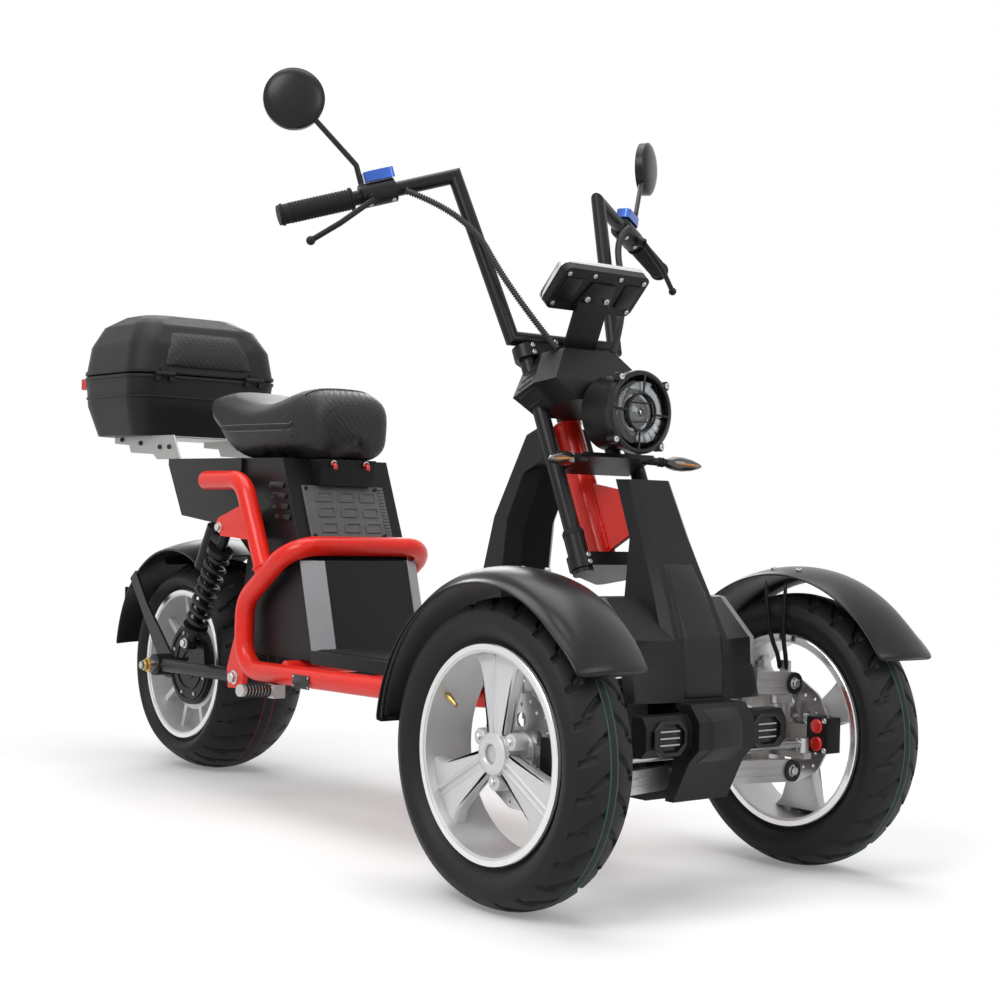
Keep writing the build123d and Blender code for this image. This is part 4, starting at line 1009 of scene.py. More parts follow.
class Dresser:
    """Base of the classes that each dress one region of the scooter."""

    body = Body.CHASSIS

    def __init__(self, shop: Workshop) -> None:
        """Hold the makers."""
        self.shop = shop

    def emit(self, form: Form, name: str, paint: str, body: Body | None = None,
             **options) -> bpy.types.Object:
        """Make a form a piece, on the region's own body if no other is named."""
        return form.emit(name, body or self.body, paint, self.shop.paints, **options)

    def bolt(self, name: str, heads: Sequence[Head], paint: str = "bolt_zinc", shape: str = "socket",
             body: Body | None = None) -> None:
        """Set screw or bolt heads, on the region's own body if no other is named."""
        self.shop.bolts.put(name, body or self.body, paint, shape, heads)

    def coil(self, name: str, paint: str, foot: Vector, way: Vector, height: float, radius: float,
             wire: float, turns: float, replaces: Iterable[str] = ()) -> None:
        """Wind a coil spring.

        Args:
            name: the piece's name.
            paint: its finish.
            foot: middle of its lower end.
            way: direction of its axis.
            height: its height, in metres.
            radius: radius of its wire's middle line.
            wire: radius of the wire.
            turns: count of turns.
            replaces: CAD nodes that it stands for.
        """
        repeats = self.shop.repeats
        turn = Vector(way.to_track_quat("Z", "Y").to_euler())
        piece = repeats.run(repeats.coil, bpy.data.meshes.new("coil"), name, paint, Turns=turns,
                            Radius=radius * MM, Height=height, Wire=wire * MM, Place=foot, Turn=turn)
        settle(piece, self.body, paint, self.shop.paints, SHADE_ALL, replaces)


@dataclass(frozen=True)
class Tyre:
    """One wheel's tyre.

    Attributes:
        label: end of its pieces' names.
        body: the wheel that carries it.
        node: the CAD node that its tread stands for.
        centre: the wheel's middle.
        radius: outer radius.
        width: width of the section.
        rim_width: width of the rim.
        repeats: repeats of the tread round it.
        line: finish of the two lines on its tread.
    """

    label: str
    body: Body
    node: str
    centre: Vector
    radius: float
    width: float
    rim_width: float
    repeats: int
    line: str


class Wheels(Dresser):
    """Tyres with tread, rim lips, hubs with bolts, valves, drilled discs and the motor's faces."""

    axle = (0, 1, 0)
    segments = 624
    crown_share = 0.44
    crown_drop = 0.16
    groove_depth = 5.8
    groove_slope = 2.2
    long_cut = (0.14, 0.80, 0.115)
    short_cut = (0.52, 0.96, 0.095)
    bulge_share = 0.9
    off_tread = 9.0
    bead_drop = 6.7
    bead_inset = 7.3
    lip_rise = 4.0
    wall_steps = 12
    wall_ribs = (4, 8)
    rib_height = 0.9
    tread_steps = 40
    line_place = 0.055
    LIP = ((-10.0, -1.0), (-9.5, 1.2), (-1.0, 1.6), (0.6, 0.2), (0.2, -1.0))
    spokes = (90, 210, 330)
    web_rows = ((28.0, 18.0), (60.0, 23.0), (100.0, 32.0), (135.0, 43.0), (153.0, 58.0))
    WEB_SPLIT = ((8.5, 30.5), (6.0, 33.0), (3.6, 33.0), (2.0, 28.8))
    boss_circle = 43.0
    BOSS = ((13.5, 4.0), (13.5, 27.0), (12.0, 29.5), (0.5, 29.5))
    HUB_RING = ((14.5, 29.0), (14.5, 36.0), (16.5, 38.5), (26.5, 38.5), (32.0, 34.5), (33.5, 29.0))
    AXLE_END = ((14.2, 28.0), (14.2, 33.0), (12.0, 34.5), (0.5, 34.5))
    valve_place = 150
    disc_inset = 26.0
    disc_radius = 91.5
    disc_scallop = 2.2
    disc_waves = 12
    motor_rings = ((84.0, 5.0), (60.0, 4.0), (34.0, 6.0))

    def dress(self) -> None:
        """Dress the three wheels."""
        for label, side in SIDES:
            body, centre = Body(f"front_wheel_{label}"), PLAN.front_centre(side)
            self._shoe(Tyre(label, body, f"front_tyre_{label}", centre, PLAN.front_radius, PLAN.front_width,
                            rim_width=92.0, repeats=26, line="line_teal"))
            self._front_hub(label, body, centre, side)
            self._disc(label, body, centre, side)
        self._shoe(Tyre("rear", Body.WHEEL_REAR, "rear_tyre", PLAN.rear_centre(), PLAN.rear_radius,
                        PLAN.rear_width, rim_width=186.0, repeats=30, line="line_red"))
        self._motor_faces(PLAN.rear_centre())

    def _crown(self, tyre: Tyre, y: float) -> float:
        """Radius of the crowned tread at a distance from its middle."""
        half, drop = self.crown_share * tyre.width, self.crown_drop * tyre.width
        bend = (half * half + drop * drop) / (2 * drop)
        return tyre.radius - bend + math.sqrt(max(bend * bend - y * y, 0.0))

    def _profile(self, tyre: Tyre) -> list[tuple[float, float, float]]:
        """Section from bead to bead: radius, place across, and place on the tread, 1 to -1, or off it."""
        bead, lip = PLAN.flange_radius - self.bead_drop, PLAN.flange_radius + self.lip_rise
        bead_half = tyre.rim_width / 2 - self.bead_inset
        shoulder_y = self.crown_share * tyre.width
        shoulder = tyre.radius - self.crown_drop * tyre.width
        bulge = (tyre.width - bead_half - shoulder_y) / 2 * self.bulge_share
        side = [(bead, bead_half, self.off_tread), (lip, bead_half, self.off_tread)]
        for i in range(1, self.wall_steps):
            t = i / self.wall_steps
            rib = self.rib_height if i in self.wall_ribs else 0.0
            across = bead_half + (shoulder_y - bead_half) * t + math.sin(t * math.pi) * bulge + rib
            side.append((lip + (shoulder - lip) * t, across, self.off_tread))
        shares = [1 - 2 * i / self.tread_steps for i in range(self.tread_steps + 1)]
        tread = [(self._crown(tyre, shoulder_y * u), shoulder_y * u, u) for u in shares]
        return side + tread + [(r, -y, u) for r, y, u in reversed(side)]

    def _groove(self, u: float, turn: float) -> float:
        """Share of the full groove depth at a place across the tread and a share of one repeat round it."""
        away = abs(u)
        lead = turn + (0.5 if u < 0 else 0.0)
        cut = 0.0
        runs = ((self.long_cut, 0.85 * away ** 1.4), (self.short_cut, 0.42 + 0.35 * away))
        for (inner, outer, half), slant in runs:
            if inner < away < outer:
                cut = max(cut, 1.0 - abs((lead + slant) % 1.0 - 0.5) / half)
        return min(1.0, self.groove_slope * cut)

    def _shoe(self, tyre: Tyre) -> None:
        """Skin a tyre with its grooves cut in, line its tread and add the rim's bright lips."""
        profile = self._profile(tyre)
        rings = []
        for k in range(self.segments):
            share = k / self.segments
            x, z = polar(MM, share)
            out = Vector((x, 0, z))
            turn = (share * tyre.repeats) % 1.0
            cuts = [self._groove(u, turn) * self.groove_depth for _, _, u in profile]
            rings.append([tyre.centre + out * (r - cut) + Vector((0, y * MM, 0))
                          for (r, y, _), cut in zip(profile, cuts)])
        self.emit(Form().rings(rings, loop=True), f"tread_{tyre.label}", "tyre_rubber", tyre.body, sharp=50.0,
                  replaces=(tyre.node,))
        lines, lips = Form(), Form()
        for end in BOTH:
            y = end * self.line_place * tyre.width
            r = self._crown(tyre, y)
            lines.lathe(ridge(r - 1.0, r + 0.1, y, 1.1, 1.1), tyre.centre, self.axle, 180)
            lip = [(PLAN.flange_radius + r, end * (tyre.rim_width / 2 + h)) for r, h in self.LIP]
            lips.lathe(lip, tyre.centre, self.axle, 128)
        self.emit(lines, f"tyre_line_{tyre.label}", tyre.line, tyre.body)
        self.emit(lips, f"rim_lips_{tyre.label}", "machined_lip", tyre.body)

    @staticmethod
    def _ray(side: int, degrees: float) -> Vector:
        """Direction in a front wheel's plane, turned as the part's source turns its spokes."""
        angle = math.radians(degrees)
        return Vector((math.cos(angle), 0, -side * math.sin(angle)))

    def _front_hub(self, label: str, body: Body, centre: Vector, side: int) -> None:
        """Add the three broad split spokes, the hub ring, bosses with bolts, the axle's end and the valve."""
        way = Vector((0, side, 0))
        webs, bosses, heads = Form(), Form(), []
        for middle in self.spokes:
            rows = []
            for r, half in self.web_rows:
                edge = [(half, 6.0), (half, 24.0), (half - 4.0, 29.0), *self.WEB_SPLIT]
                skin = [(-u, h) for u, h in edge] + edge[::-1]
                rows.append([centre + (self._ray(side, middle + math.degrees(u / r)) * r + way * h) * MM
                             for u, h in skin])
            webs.rings(rows)
            spot = centre + self._ray(side, middle + 60) * (self.boss_circle * MM)
            bosses.lathe(self.BOSS, spot, way, 32, caps=True)
            heads.append((spot + way * (29.3 * MM), way, 7.8))
        self.emit(webs, f"spoke_webs_{label}", "wheel_silver", body, bevel=1.2, sharp=25.0)
        bosses.lathe(self.HUB_RING, centre, way, 56)
        self.emit(bosses, f"hub_ring_{label}", "wheel_silver", body)
        axle = Form().lathe(self.AXLE_END, centre, way, 40, caps=True)
        self.emit(axle, f"axle_end_{label}", "cast_aluminium", body)
        self.bolt(f"hub_bolts_{label}", heads, shape="hex", body=body)
        stem = centre + way * (22 * MM)
        steps = spread(self._ray(side, self.valve_place), 150, 136, 134, 122)
        valve = Form().tube([stem + step for step in steps], (5.0, 5.0, 3.4, 3.4), 10)
        self.emit(valve, f"valve_{label}", "brass", body)

    def _disc(self, label: str, body: Body, centre: Vector, side: int) -> None:
        """Cut the brake disc: a scalloped, drilled ring on a spider, with its bolts."""
        inner = centre + Vector((0, -side * self.disc_inset * MM, 0))
        rim = []
        for share in (i / 144 for i in range(144)):
            dip = (1 + math.cos(self.disc_waves * math.tau * share)) / 2
            rim.append(polar(self.disc_radius - self.disc_scallop * dip, share))
        loops = [rim, circle(0, 0, 20.5, 40)]
        loops += [circle(*polar(81.0 if i % 2 else 72.0, i / 24), 3.1, 10) for i in range(24)]
        loops += [circle(*polar(49.0, (i + 0.5) / 6), 11.5, 20) for i in range(6)]
        form = Form().sheet(loops, axis_frame(inner, (0, side, 0)), 4.0)
        self.emit(form, f"drilled_disc_{label}", "disc_steel", body, replaces=(f"brake_disc_{label}",))
        spots = (polar(28.0 * MM, i / 6) for i in range(6))
        heads = [(inner + Vector((x, 0, z)), (0, -side, 0), 5.0) for x, z in spots]
        self.bolt(f"disc_bolts_{label}", heads, body=body)

    def _motor_faces(self, centre: Vector) -> None:
        """Add the hub motor's raised rings and cover screws."""
        form, heads = Form(), []
        for side in BOTH:
            way = Vector((0, side, 0))
            for r, width in self.motor_rings:
                form.lathe(collar(r - width, r, 74.0, 77.5), centre, way, 72)
            for x, z in (polar(72.0, (i + 0.5) / 8) for i in range(8)):
                heads.append((centre + Vector((x, side * 74.8, z)) * MM, way, 4.2))
        self.emit(form, "motor_rings", "black_powder", Body.WHEEL_REAR)
        self.bolt("motor_screws", heads, body=Body.WHEEL_REAR)


class Saddle(Dresser):
    """The padded seat: a woven nose and sides, a smooth dished top, sewn seams."""

    SECTIONS = (
        # station, half width, low, top
        (918.0, 62.0, 722.0, 792.0),
        (930.0, 84.0, 708.0, 820.0),
        (955.0, 96.0, 701.0, 838.0),
        (1000.0, 110.0, 701.0, 842.0),
        (1050.0, 119.0, 701.0, 830.0),
        (1110.0, 124.0, 701.0, 814.0),
        (1170.0, 126.0, 701.0, 810.0),
        (1215.0, 127.0, 706.0, 818.0),
        (1260.0, 126.0, 730.0, 832.0),
        (1305.0, 122.0, 766.0, 842.0),
        (1334.0, 114.0, 796.0, 846.0),
        (1342.0, 104.0, 812.0, 838.0),
    )
    ring_points = 44
    power = 0.52
    dish = 4.0
    cell = 6.0
    pressure = 4.0
    swell_frames = 20
    swell_cap = 6.0
    floor_z = 700.4
    seam_z = 764.0
    seam_front = 1010.0
    seam_ends = (990.0, 1336.0)
    seam_step = 10.0
    seam_count = 34
    thread_lift = 0.6
    piping_ends = ((1330.0, 802.0), (1225.0, 718.0))
    nose_lift = 100.0
    nose_run = 50.0
    nose_station = 976.0
    nose_half = 84.0
    nose_sweep = 14.0
    outside = 400.0
    above = 950.0

    def dress(self) -> None:
        """Make the cushion and sew its seams."""
        pad = self._cushion()
        bpy.context.view_layer.update()
        tree = BVHTree.FromObject(pad, bpy.context.evaluated_depsgraph_get())
        rows = [self._seam_row(tree, shift) for shift in (0.0, 7.0, -7.0)]
        self.emit(Form().tube(rows[0], 1.6, 6), "seat_seam", "smooth_vinyl")
        for index, row in enumerate(rows[1:]):
            self._sew(f"seat_stitches_{index}", row)
        self._piping(tree)

    def _ring(self, station: float, half: float, low: float, top: float) -> list[Vector]:
        """One rounded section, a little raised along its middle."""
        ring = []
        middle, rise = (low + top) / 2, (top - low) / 2
        for i in range(self.ring_points):
            t = math.tau * i / self.ring_points
            c, s = math.cos(t), math.sin(t)
            y = half * math.copysign(abs(c) ** self.power, c)
            z = middle + rise * math.copysign(abs(s) ** self.power, s)
            if s > 0:
                z += self.dish * (1 - (y / half) ** 2)
            ring.append(PLAN.aft(station, y, z))
        return ring

    def _cushion(self) -> bpy.types.Object:
        """Skin the sections, swell them by cloth pressure and give the two vinyls."""
        form = Form().rings([self._ring(*row) for row in self.SECTIONS])
        pad = linked("seat_cushion", form.to_mesh("seat_cushion"))
        modify(pad, "SUBSURF", levels=2, render_levels=2)
        modify(pad, "REMESH", mode="VOXEL", voxel_size=self.cell * MM)
        self._apply(pad)
        self._swell(pad)
        settle(pad, self.body, "smooth_vinyl", self.shop.paints, SHADE_ALL, replaces=("seat",))
        pad.data.materials.append(self.shop.paints.get("weave_vinyl"))
        for face in pad.data.polygons:
            face.material_index = int(self._woven(face.center))
        modify(pad, "SUBSURF", levels=1, render_levels=1)
        return pad

    @staticmethod
    def _apply(pad: bpy.types.Object) -> None:
        """Turn a piece's modifiers into its mesh."""
        mesh = baked(pad)
        pad.modifiers.clear()
        pad.data = mesh

    def _swell(self, pad: bpy.types.Object) -> None:
        """Press the cover out from inside, with no point moving past a cap or under the seat's base."""
        scene = bpy.context.scene
        rest = [v.co.copy() for v in pad.data.vertices]
        cloth = modify(pad, "CLOTH")
        cloth.settings.use_pressure = True
        cloth.settings.uniform_pressure_force = self.pressure
        cloth.settings.effector_weights.gravity = 0.0
        for step in range(1, self.swell_frames + 1):
            scene.frame_set(step)
        self._apply(pad)
        scene.frame_set(1)
        cap = self.swell_cap * MM
        for vertex, old in zip(pad.data.vertices, rest):
            move = vertex.co - old
            if move.length > cap:
                vertex.co = old + move.normalized() * cap
            vertex.co.z = max(vertex.co.z, self.floor_z * MM)

    def _seam_height(self, station: float) -> float:
        """Height of the seam at a station: level along the side, up over the nose in front."""
        return self.seam_z + self.nose_lift * smooth((self.seam_front - station) / self.nose_run)

    def _woven(self, place: Vector) -> bool:
        """Whether a place on the cover is woven."""
        return place.z / MM < self._seam_height(PLAN.axle_x - place.x / MM)

    @staticmethod
    def _landed(tree: BVHTree, places: Iterable[Vector], way: Point, lift: float) -> list[Vector]:
        """Where rays from places meet the cover, lifted a little off it."""
        hits = (tree.ray_cast(place, way) for place in places)
        return [hit[0] + hit[1] * (lift * MM) for hit in hits if hit[0] is not None]

    def _seam_row(self, tree: BVHTree, shift: float) -> list[Vector]:
        """Line on the cover along one side, over the nose and back, a distance above the seam."""
        first, last = self.seam_ends
        stations = [last - self.seam_step * i for i in range(self.seam_count)]
        flank = [PLAN.aft(s, self.outside, self._seam_height(s) + shift)
                 for s in stations if s >= first + shift]
        side = self._landed(tree, flank, (0, -1, 0), self.thread_lift)
        shares = [1 - i / 5 for i in range(11)]
        nose = [PLAN.aft(self.nose_station + shift + self.nose_sweep * t * t, self.nose_half * t, self.above)
                for t in shares]
        over = self._landed(tree, nose, (0, 0, -1), self.thread_lift)
        return side + over + [mirrored(place, -1) for place in reversed(side)]

    def _sew(self, name: str, row: Sequence[Vector]) -> None:
        """Sew one row of stitches along points on the cover."""
        repeats, paint = self.shop.repeats, "pale_thread"
        piece = repeats.run(repeats.thread, curve_through(name, row, "POLY"), name, paint, Spacing=5.8 * MM,
                            Length=4.0 * MM, Wire=0.7 * MM)
        settle(piece, self.body, paint, self.shop.paints, 38.0)

    def _piping(self, tree: BVHTree) -> None:
        """Lay pale piping down the rear side edges."""
        form = Form()
        (d0, z0), (d1, z1) = self.piping_ends
        shares = [i / 8 for i in range(9)]
        for side in BOTH:
            places = [PLAN.aft(d0 + (d1 - d0) * t, side * self.outside, z0 + (z1 - z0) * t) for t in shares]
            form.tube(self._landed(tree, places, (0, -side, 0), 0.8), 1.7, 6)
        self.emit(form, "seat_piping", "pale_thread")


class TopCase(Dresser):
    """The case's backrest pad, the bands of its shells and its brackets' bolts."""

    front = 1545.0
    length = 340.0
    half = 192.0
    rear_corner = 118.0
    front_corner = 46.0
    pad_low = 914.0
    pad_height = 84.0
    pad_rows = ((0.0, 0.0), (0.04, 5.0), (0.14, 8.5), (0.5, 11.0), (0.84, 9.0), (0.96, 5.0), (1.0, 0.0))
    pad_columns = 24
    pad_half = 112.0
    pad_taper = 26.0
    # height where the lid's front starts to lean, the rise it takes, how far back it goes
    lid_foot = (897.0, 70.0, 10.0)
    lid_bend = (966.0, 48.0, 26.0)
    BANDS = (
        # name, body, height of its foot, its own height, inset, how far it stands out
        ("base_lip", Body.CHASSIS, 887.0, 7.0, 0.0, 2.2),
        ("lid_lip", Body.LID, 898.5, 8.0, 0.0, 2.2),
        ("base_band", Body.CHASSIS, 842.0, 5.0, 2.6, 1.2),
    )
    bracket_holes = ((1500, 728), (1545, 728), (1640, 738), (1735, 747))

    def dress(self) -> None:
        """Add what the two shells carry."""
        self._pad()
        self._bands()
        heads = [(PLAN.aft(station, side * 122, height), (0, side, 0), 5.5)
                 for side in BOTH for station, height in self.bracket_holes]
        self.bolt("bracket_bolts", heads, paint="bolt_black")

    def _pad(self) -> None:
        """Make the woven backrest pad on the lid's front."""
        rows = []
        for share, lift in self.pad_rows:
            z = self.pad_low + self.pad_height * share
            half = self.pad_half - self.pad_taper * share ** 2
            foot, bend = self.lid_foot, self.lid_bend
            lean = max(0.0, (z - bend[0]) / bend[1]) * bend[2] + min(1.0, (z - foot[0]) / foot[1]) * foot[2]
            shares = [1 - 2 * i / self.pad_columns for i in range(self.pad_columns + 1)]
            face = [PLAN.aft(self.front + lean - lift * (1 - abs(t) ** 8) - 0.4, half * t, z) for t in shares]
            back = [PLAN.aft(self.front + lean + 1.0, half * t, z) for t in reversed(shares)]
            rows.append(face + back)
        pad = self.emit(Form().rings(rows), "backrest_pad", "weave_vinyl", Body.LID, subdiv=1)

    def _bands(self) -> None:
        """Add the raised lip of each shell at the split and the base's low band."""
        for name, body, z, rise, inset, grow in self.BANDS:
            outer, inner = self._outline(inset - grow), self._outline(inset + 1.5)
            rows = [[PLAN.aft(d, y, h) for d, y in line]
                    for line, h in ((inner, z), (outer, z), (outer, z + rise), (inner, z + rise))]
            self.emit(Form().rings(rows, loop=True), name, "case_shell", body, bevel=0.6)

    def _outline(self, inset: float, steps: int = 8) -> list[tuple[float, float]]:
        """Outline of the case at the split, drawn in: station and place across."""
        points = []
        rear, front = self.rear_corner, self.front_corner
        for quarter, (radius, across) in enumerate(((rear, 1), (front, 1), (front, -1), (rear, -1))):
            station = self.front + (self.length - rear if radius == rear else front)
            for i in range(steps + 1):
                dx, dy = polar(radius - inset, (quarter + i / steps) / 4)
                points.append((station + dx, across * (self.half - radius) + dy))
        return points


class Cockpit(Dresser):
    """Everything on the steering: cables, grips, mirrors, display, shroud, lamp, signals and fork."""

    body = Body.STEERING
    corner = PLAN.aft(388, 170, 1191)
    end = PLAN.aft(508, 450, 1100)
    cord_diameter = 11.0
    grip_length = 128.0
    grip_radius = 16.8
    mirror_yaw = math.radians(31)
    MIRROR_SHELL = ((53.0, 11.5), (50.0, 15.0), (40.0, 19.0), (24.0, 21.5), (8.0, 22.2))
    MIRROR_RIM = ((49.5, -3.0), (53.2, -2.8), (53.4, 1.0), (49.5, 0.8))
    cap_face = 39.3
    clamp_way = Vector((0.6, 0, -0.8))
    clamp_radius = 20.5
    display = PLAN.aft(208, 0, 1002)
    display_way = Vector((-0.72, 0, 0.69)).normalized()
    display_holes = ((-86, 32), (-30, 34), (30, 34), (86, 32), (-86, -32), (86, -32), (0, -34))
    DISPLAY_BRACKET = ((-40, -30), (40, -30), (26, 20), (-26, 20))
    lamp = PLAN.aft(79, 0, 775)
    REFLECTOR = ((60.5, -3.0), (50.0, -7.5), (36.0, -10.5), (25.5, -11.2), (25.5, -11.8), (61.0, -11.8))
    MASK = ((26.0, -11.6), (26.0, -6.5), (21.5, -4.0), (19.5, -4.0), (18.5, -11.6))
    mask_rings = ((34.0, 38.0), (54.0, 56.5))
    PROJECTOR = ((18.4, -11.2), (18.0, -6.2), (14.0, -3.6), (7.0, -2.2), (0.5, -1.9))
    GLASS = ((61.2, -2.6), (61.2, -1.2), (40.0, 0.8), (10.0, 1.6), (0.5, 1.7), (0.5, 0.2), (10.0, 0.1),
             (40.0, -0.7))
    BEZEL = ((61.0, 0.0), (62.5, 5.0), (66.5, 6.2), (70.5, 4.0), (71.2, -6.0), (70.0, -11.0), (64.0, -11.0))
    GUARD = ((29.0, 4.0), (30.0, 6.6), (33.0, 6.6), (34.0, 4.0))
    signal_neck = 42.0
    SIGNAL = (
        # share of the length, radius
        (0.0, 7.0), (0.06, 9.5), (0.22, 12.4), (0.45, 12.8),
        (0.70, 10.2), (0.88, 6.2), (0.97, 2.8), (1.0, 0.6),
    )
    leg_ahead = 45.0
    leg_half = 95.0
    clamp_ahead = 66.6
    LEG_CAP = ((13.5, -1.0), (13.5, 3.0), (11.0, 5.5), (6.0, 5.5), (5.5, 3.0))
    LEG_SEAL = ((13.8, -2.0), (18.6, -2.0), (18.6, 4.0), (16.0, 9.0), (13.8, 9.0))

    def __init__(self, shop: Workshop) -> None:
        """Hold the makers and the left bar's own directions."""
        super().__init__(shop)
        self.out = (self.end - self.corner).normalized()
        self.up = (Vector((0, 0, 1)) - self.out * self.out.z).normalized()

    def dress(self) -> None:
        """Add every piece of the cockpit."""
        for label, side in SIDES:
            self._cable(label, side)
        self._grips()
        self._mirrors()
        self._caps()
        self._display()
        self._shroud()
        self._lamp()
        self._guard()
        self._signals()
        self._fork()

    def _on_bar(self, along: float) -> Vector:
        """Place along the left bar's middle line, from its corner."""
        return self.corner + self.out * (along * MM)

    @staticmethod
    def _spoke(degrees: float) -> Vector:
        """Direction in the lamp's plane."""
        angle = math.radians(degrees)
        return Vector((0, math.cos(angle), math.sin(angle)))

    def _cable(self, label: str, side: int) -> None:
        """Run a ribbed conduit from the controls to the shroud along the part's own route."""
        start = self._on_bar(108) + Vector((26, 0, -6)) * MM
        route = [mirrored(start, side), PLAN.aft(345, side * 172, 1120), PLAN.aft(266, side * 140, 985),
                 PLAN.column(92, side * 66, 391)]
        curve = curve_through(f"cable_{label}", route, "NURBS")
        spline = curve.splines[0]
        spline.order_u = 3
        spline.use_endpoint_u = True
        spline.resolution_u = 24
        line = self._centreline(curve)
        repeats, paint = self.shop.repeats, "cable_jacket"
        piece = repeats.run(repeats.conduit, curve, f"conduit_{label}", paint, Wire=5.3 * MM, Pitch=4.6 * MM,
                            Depth=0.22)
        settle(piece, self.body, paint, self.shop.paints, SHADE_ALL, replaces=("cables",))

    @staticmethod
    def _centreline(curve: bpy.types.Curve) -> list[Vector]:
        """Points of a curve with no bevel."""
        holder = linked("route", curve)
        mesh = baked(holder)
        line = [v.co.copy() for v in mesh.vertices]
        bpy.data.objects.remove(holder)
        bpy.data.meshes.remove(mesh)
        return line

    def _grips(self) -> None:
        """Add the grips' ridges and end flanges."""
        form = Form()
        ridges = [ridge(self.grip_radius, 18.4, 10.0 + i * 5.6, 1.4, 0.9) for i in range(19)]
        ridges += [ridge(self.grip_radius, r, h, 2.2, 1.6) for h, r in ((2.0, 20.5), (126.0, 19.5))]
        for side in BOTH:
            root = mirrored(self.end - self.out * (self.grip_length * MM), side)
            for profile in ridges:
                form.lathe(profile, root, mirrored(self.out, side), 28)
        self.emit(form, "grip_ridges", "grip_rubber")

    def _mirrors(self) -> None:
        """Add the domed mirror backs and their rims."""
        shells, rims = Form(), Form()
        for side in BOTH:
            hub = PLAN.aft(530, side * 418, 1308)
            way = Vector((math.cos(self.mirror_yaw), side * math.sin(self.mirror_yaw), 0))
            shells.lathe(self.MIRROR_SHELL, hub, way, 56, caps=True)
            rims.lathe(self.MIRROR_RIM, hub, way, 72)
        self.emit(shells, "mirror_shells", "black_satin")
        self.emit(rims, "mirror_rims", "black_powder")

    def _caps(self) -> None:
        """Screw the reservoir caps and the control clamps."""
        screws, clamps = [], []
        for side in BOTH:
            for along in (113.0, 155.0):
                spot = self._on_bar(along) + self.up * (self.cap_face * MM)
                screws.append((mirrored(spot, side), mirrored(self.up, side), 2.8))
            for along in (120.0, 162.0):
                spot = self._on_bar(along) + self.clamp_way * (self.clamp_radius * MM)
                clamps.append((mirrored(spot, side), self.clamp_way, 4.0))
        self.bolt("cap_screws", screws)
        self.bolt("clamp_screws", clamps)

    def _display(self) -> None:
        """Add the display's screws, the ribs and bracket on its back and its bright rim."""
        frame = axis_frame(self.display - self.display_way * (24 * MM), -self.display_way)
        holes = [(x, y, -0.4, 4.5) for x, y in self.display_holes]
        holes += [(x, -12, 4.4, 5.8) for x in (-22, 22)]
        heads = [(frame @ (Vector((x, y, z)) * MM), -self.display_way, r) for x, y, z, r in holes]
        self.bolt("display_screws", heads)
        back = raised(frame, -1.0)
        form = Form().prism(self.DISPLAY_BRACKET, back, 5.5)
        for x in (-68, 68):
            form.prism(rectangle(18, 25, x, -1), back, 3.5)
        self.emit(form, "display_back", "black_moulded", bevel=1.2)
        rim = [rounded(98.5, 44.5, 14.5), rounded(92.5, 38.5, 10.5)]
        face = axis_frame(self.display - self.display_way * (8.5 * MM), self.display_way)
        self.emit(Form().sheet(rim, face, 10.5), "display_rim", "machined_lip", bevel=0.8)

    def _shroud(self) -> None:
        """Add the ribs on the shroud's sides."""
        ribs = Form()
        for up in (300.0, 315.0, 330.0, 345.0, 360.0):
            half = 96.0 + 42.0 * (up - 286) / 34 if up < 320 else 138.0 - 50.0 * (up - 320) / 67
            for side in BOTH:
                a, b = (PLAN.column(ahead, side * (half - 1.5), up) for ahead in (40, 82))
                ribs.tube([a, a.lerp(b, 0.06), a.lerp(b, 0.94), b], (1.0, 2.6, 2.6, 1.0), 8)
        self.emit(ribs, "shroud_ribs", "black_satin")

    def _lamp(self) -> None:
        """Fill the headlight: reflector, mask, projector, light segments, front glass."""
        self.emit(Form().lathe(self.REFLECTOR, self.lamp, AHEAD, 72), "lamp_reflector", "lamp_chrome")
        mask = Form().lathe(self.MASK, self.lamp, AHEAD, 56)
        for inner, outer in self.mask_rings:
            mask.lathe(collar(inner, outer, -11.2, -5.5), self.lamp, AHEAD, 72)
        self.emit(mask, "lamp_mask", "black_satin")
        eye = Form().lathe(self.PROJECTOR, self.lamp, AHEAD, 48, caps=True)
        self.emit(eye, "lamp_projector", "screen_glass")
        bars = Form()
        for middle in (90, 210, 330):
            for step in range(-2, 3):
                out = self._spoke(middle + step * 14)
                spot = self.lamp + (out * 46.0 - AHEAD * 9.8) * MM
                bars.prism(rectangle(4.5, 6.0), axis_frame(spot, AHEAD, out), 3.4)
        self.emit(bars, "lamp_segments", "lamp_glow", bevel=0.6)
        glass = Form().lathe(self.GLASS, self.lamp, AHEAD, 72)
        self.emit(glass, "lamp_front_glass", "lamp_glass", sharp=SHADE_ALL, replaces=("headlight_lens",))

    def _guard(self) -> None:
        """Add the headlight's bezel, guard ring, bars and lugs."""
        form = Form().lathe(self.BEZEL, self.lamp, AHEAD, 96)
        form.lathe(self.GUARD, self.lamp, AHEAD, 64)
        heads = []
        for degrees in (40, 130, 220, 310):
            out, ray = self._spoke(degrees), self._spoke(degrees + 45)
            lug = axis_frame(self.lamp + (out * 73.5 - AHEAD * 10) * MM, AHEAD)
            form.prism(circle(0, 0, 8.2, 18), lug, 14.0)
            heads.append((self.lamp + (out * 74.2 + AHEAD * 3.6) * MM, AHEAD, 5.2))
            ends = ((32.5, 5.3), (64.5, 5.0))
            form.tube([self.lamp + (ray * away + AHEAD * front) * MM for away, front in ends], 1.9, 8)
        for height in (16, -16):
            form.tube([self.lamp + Vector((5.3, y, height)) * MM for y in (-29, 29)], 1.2, 8)
        self.emit(form, "lamp_guard", "black_satin", sharp=40.0)
        self.bolt("lamp_bolts", heads)

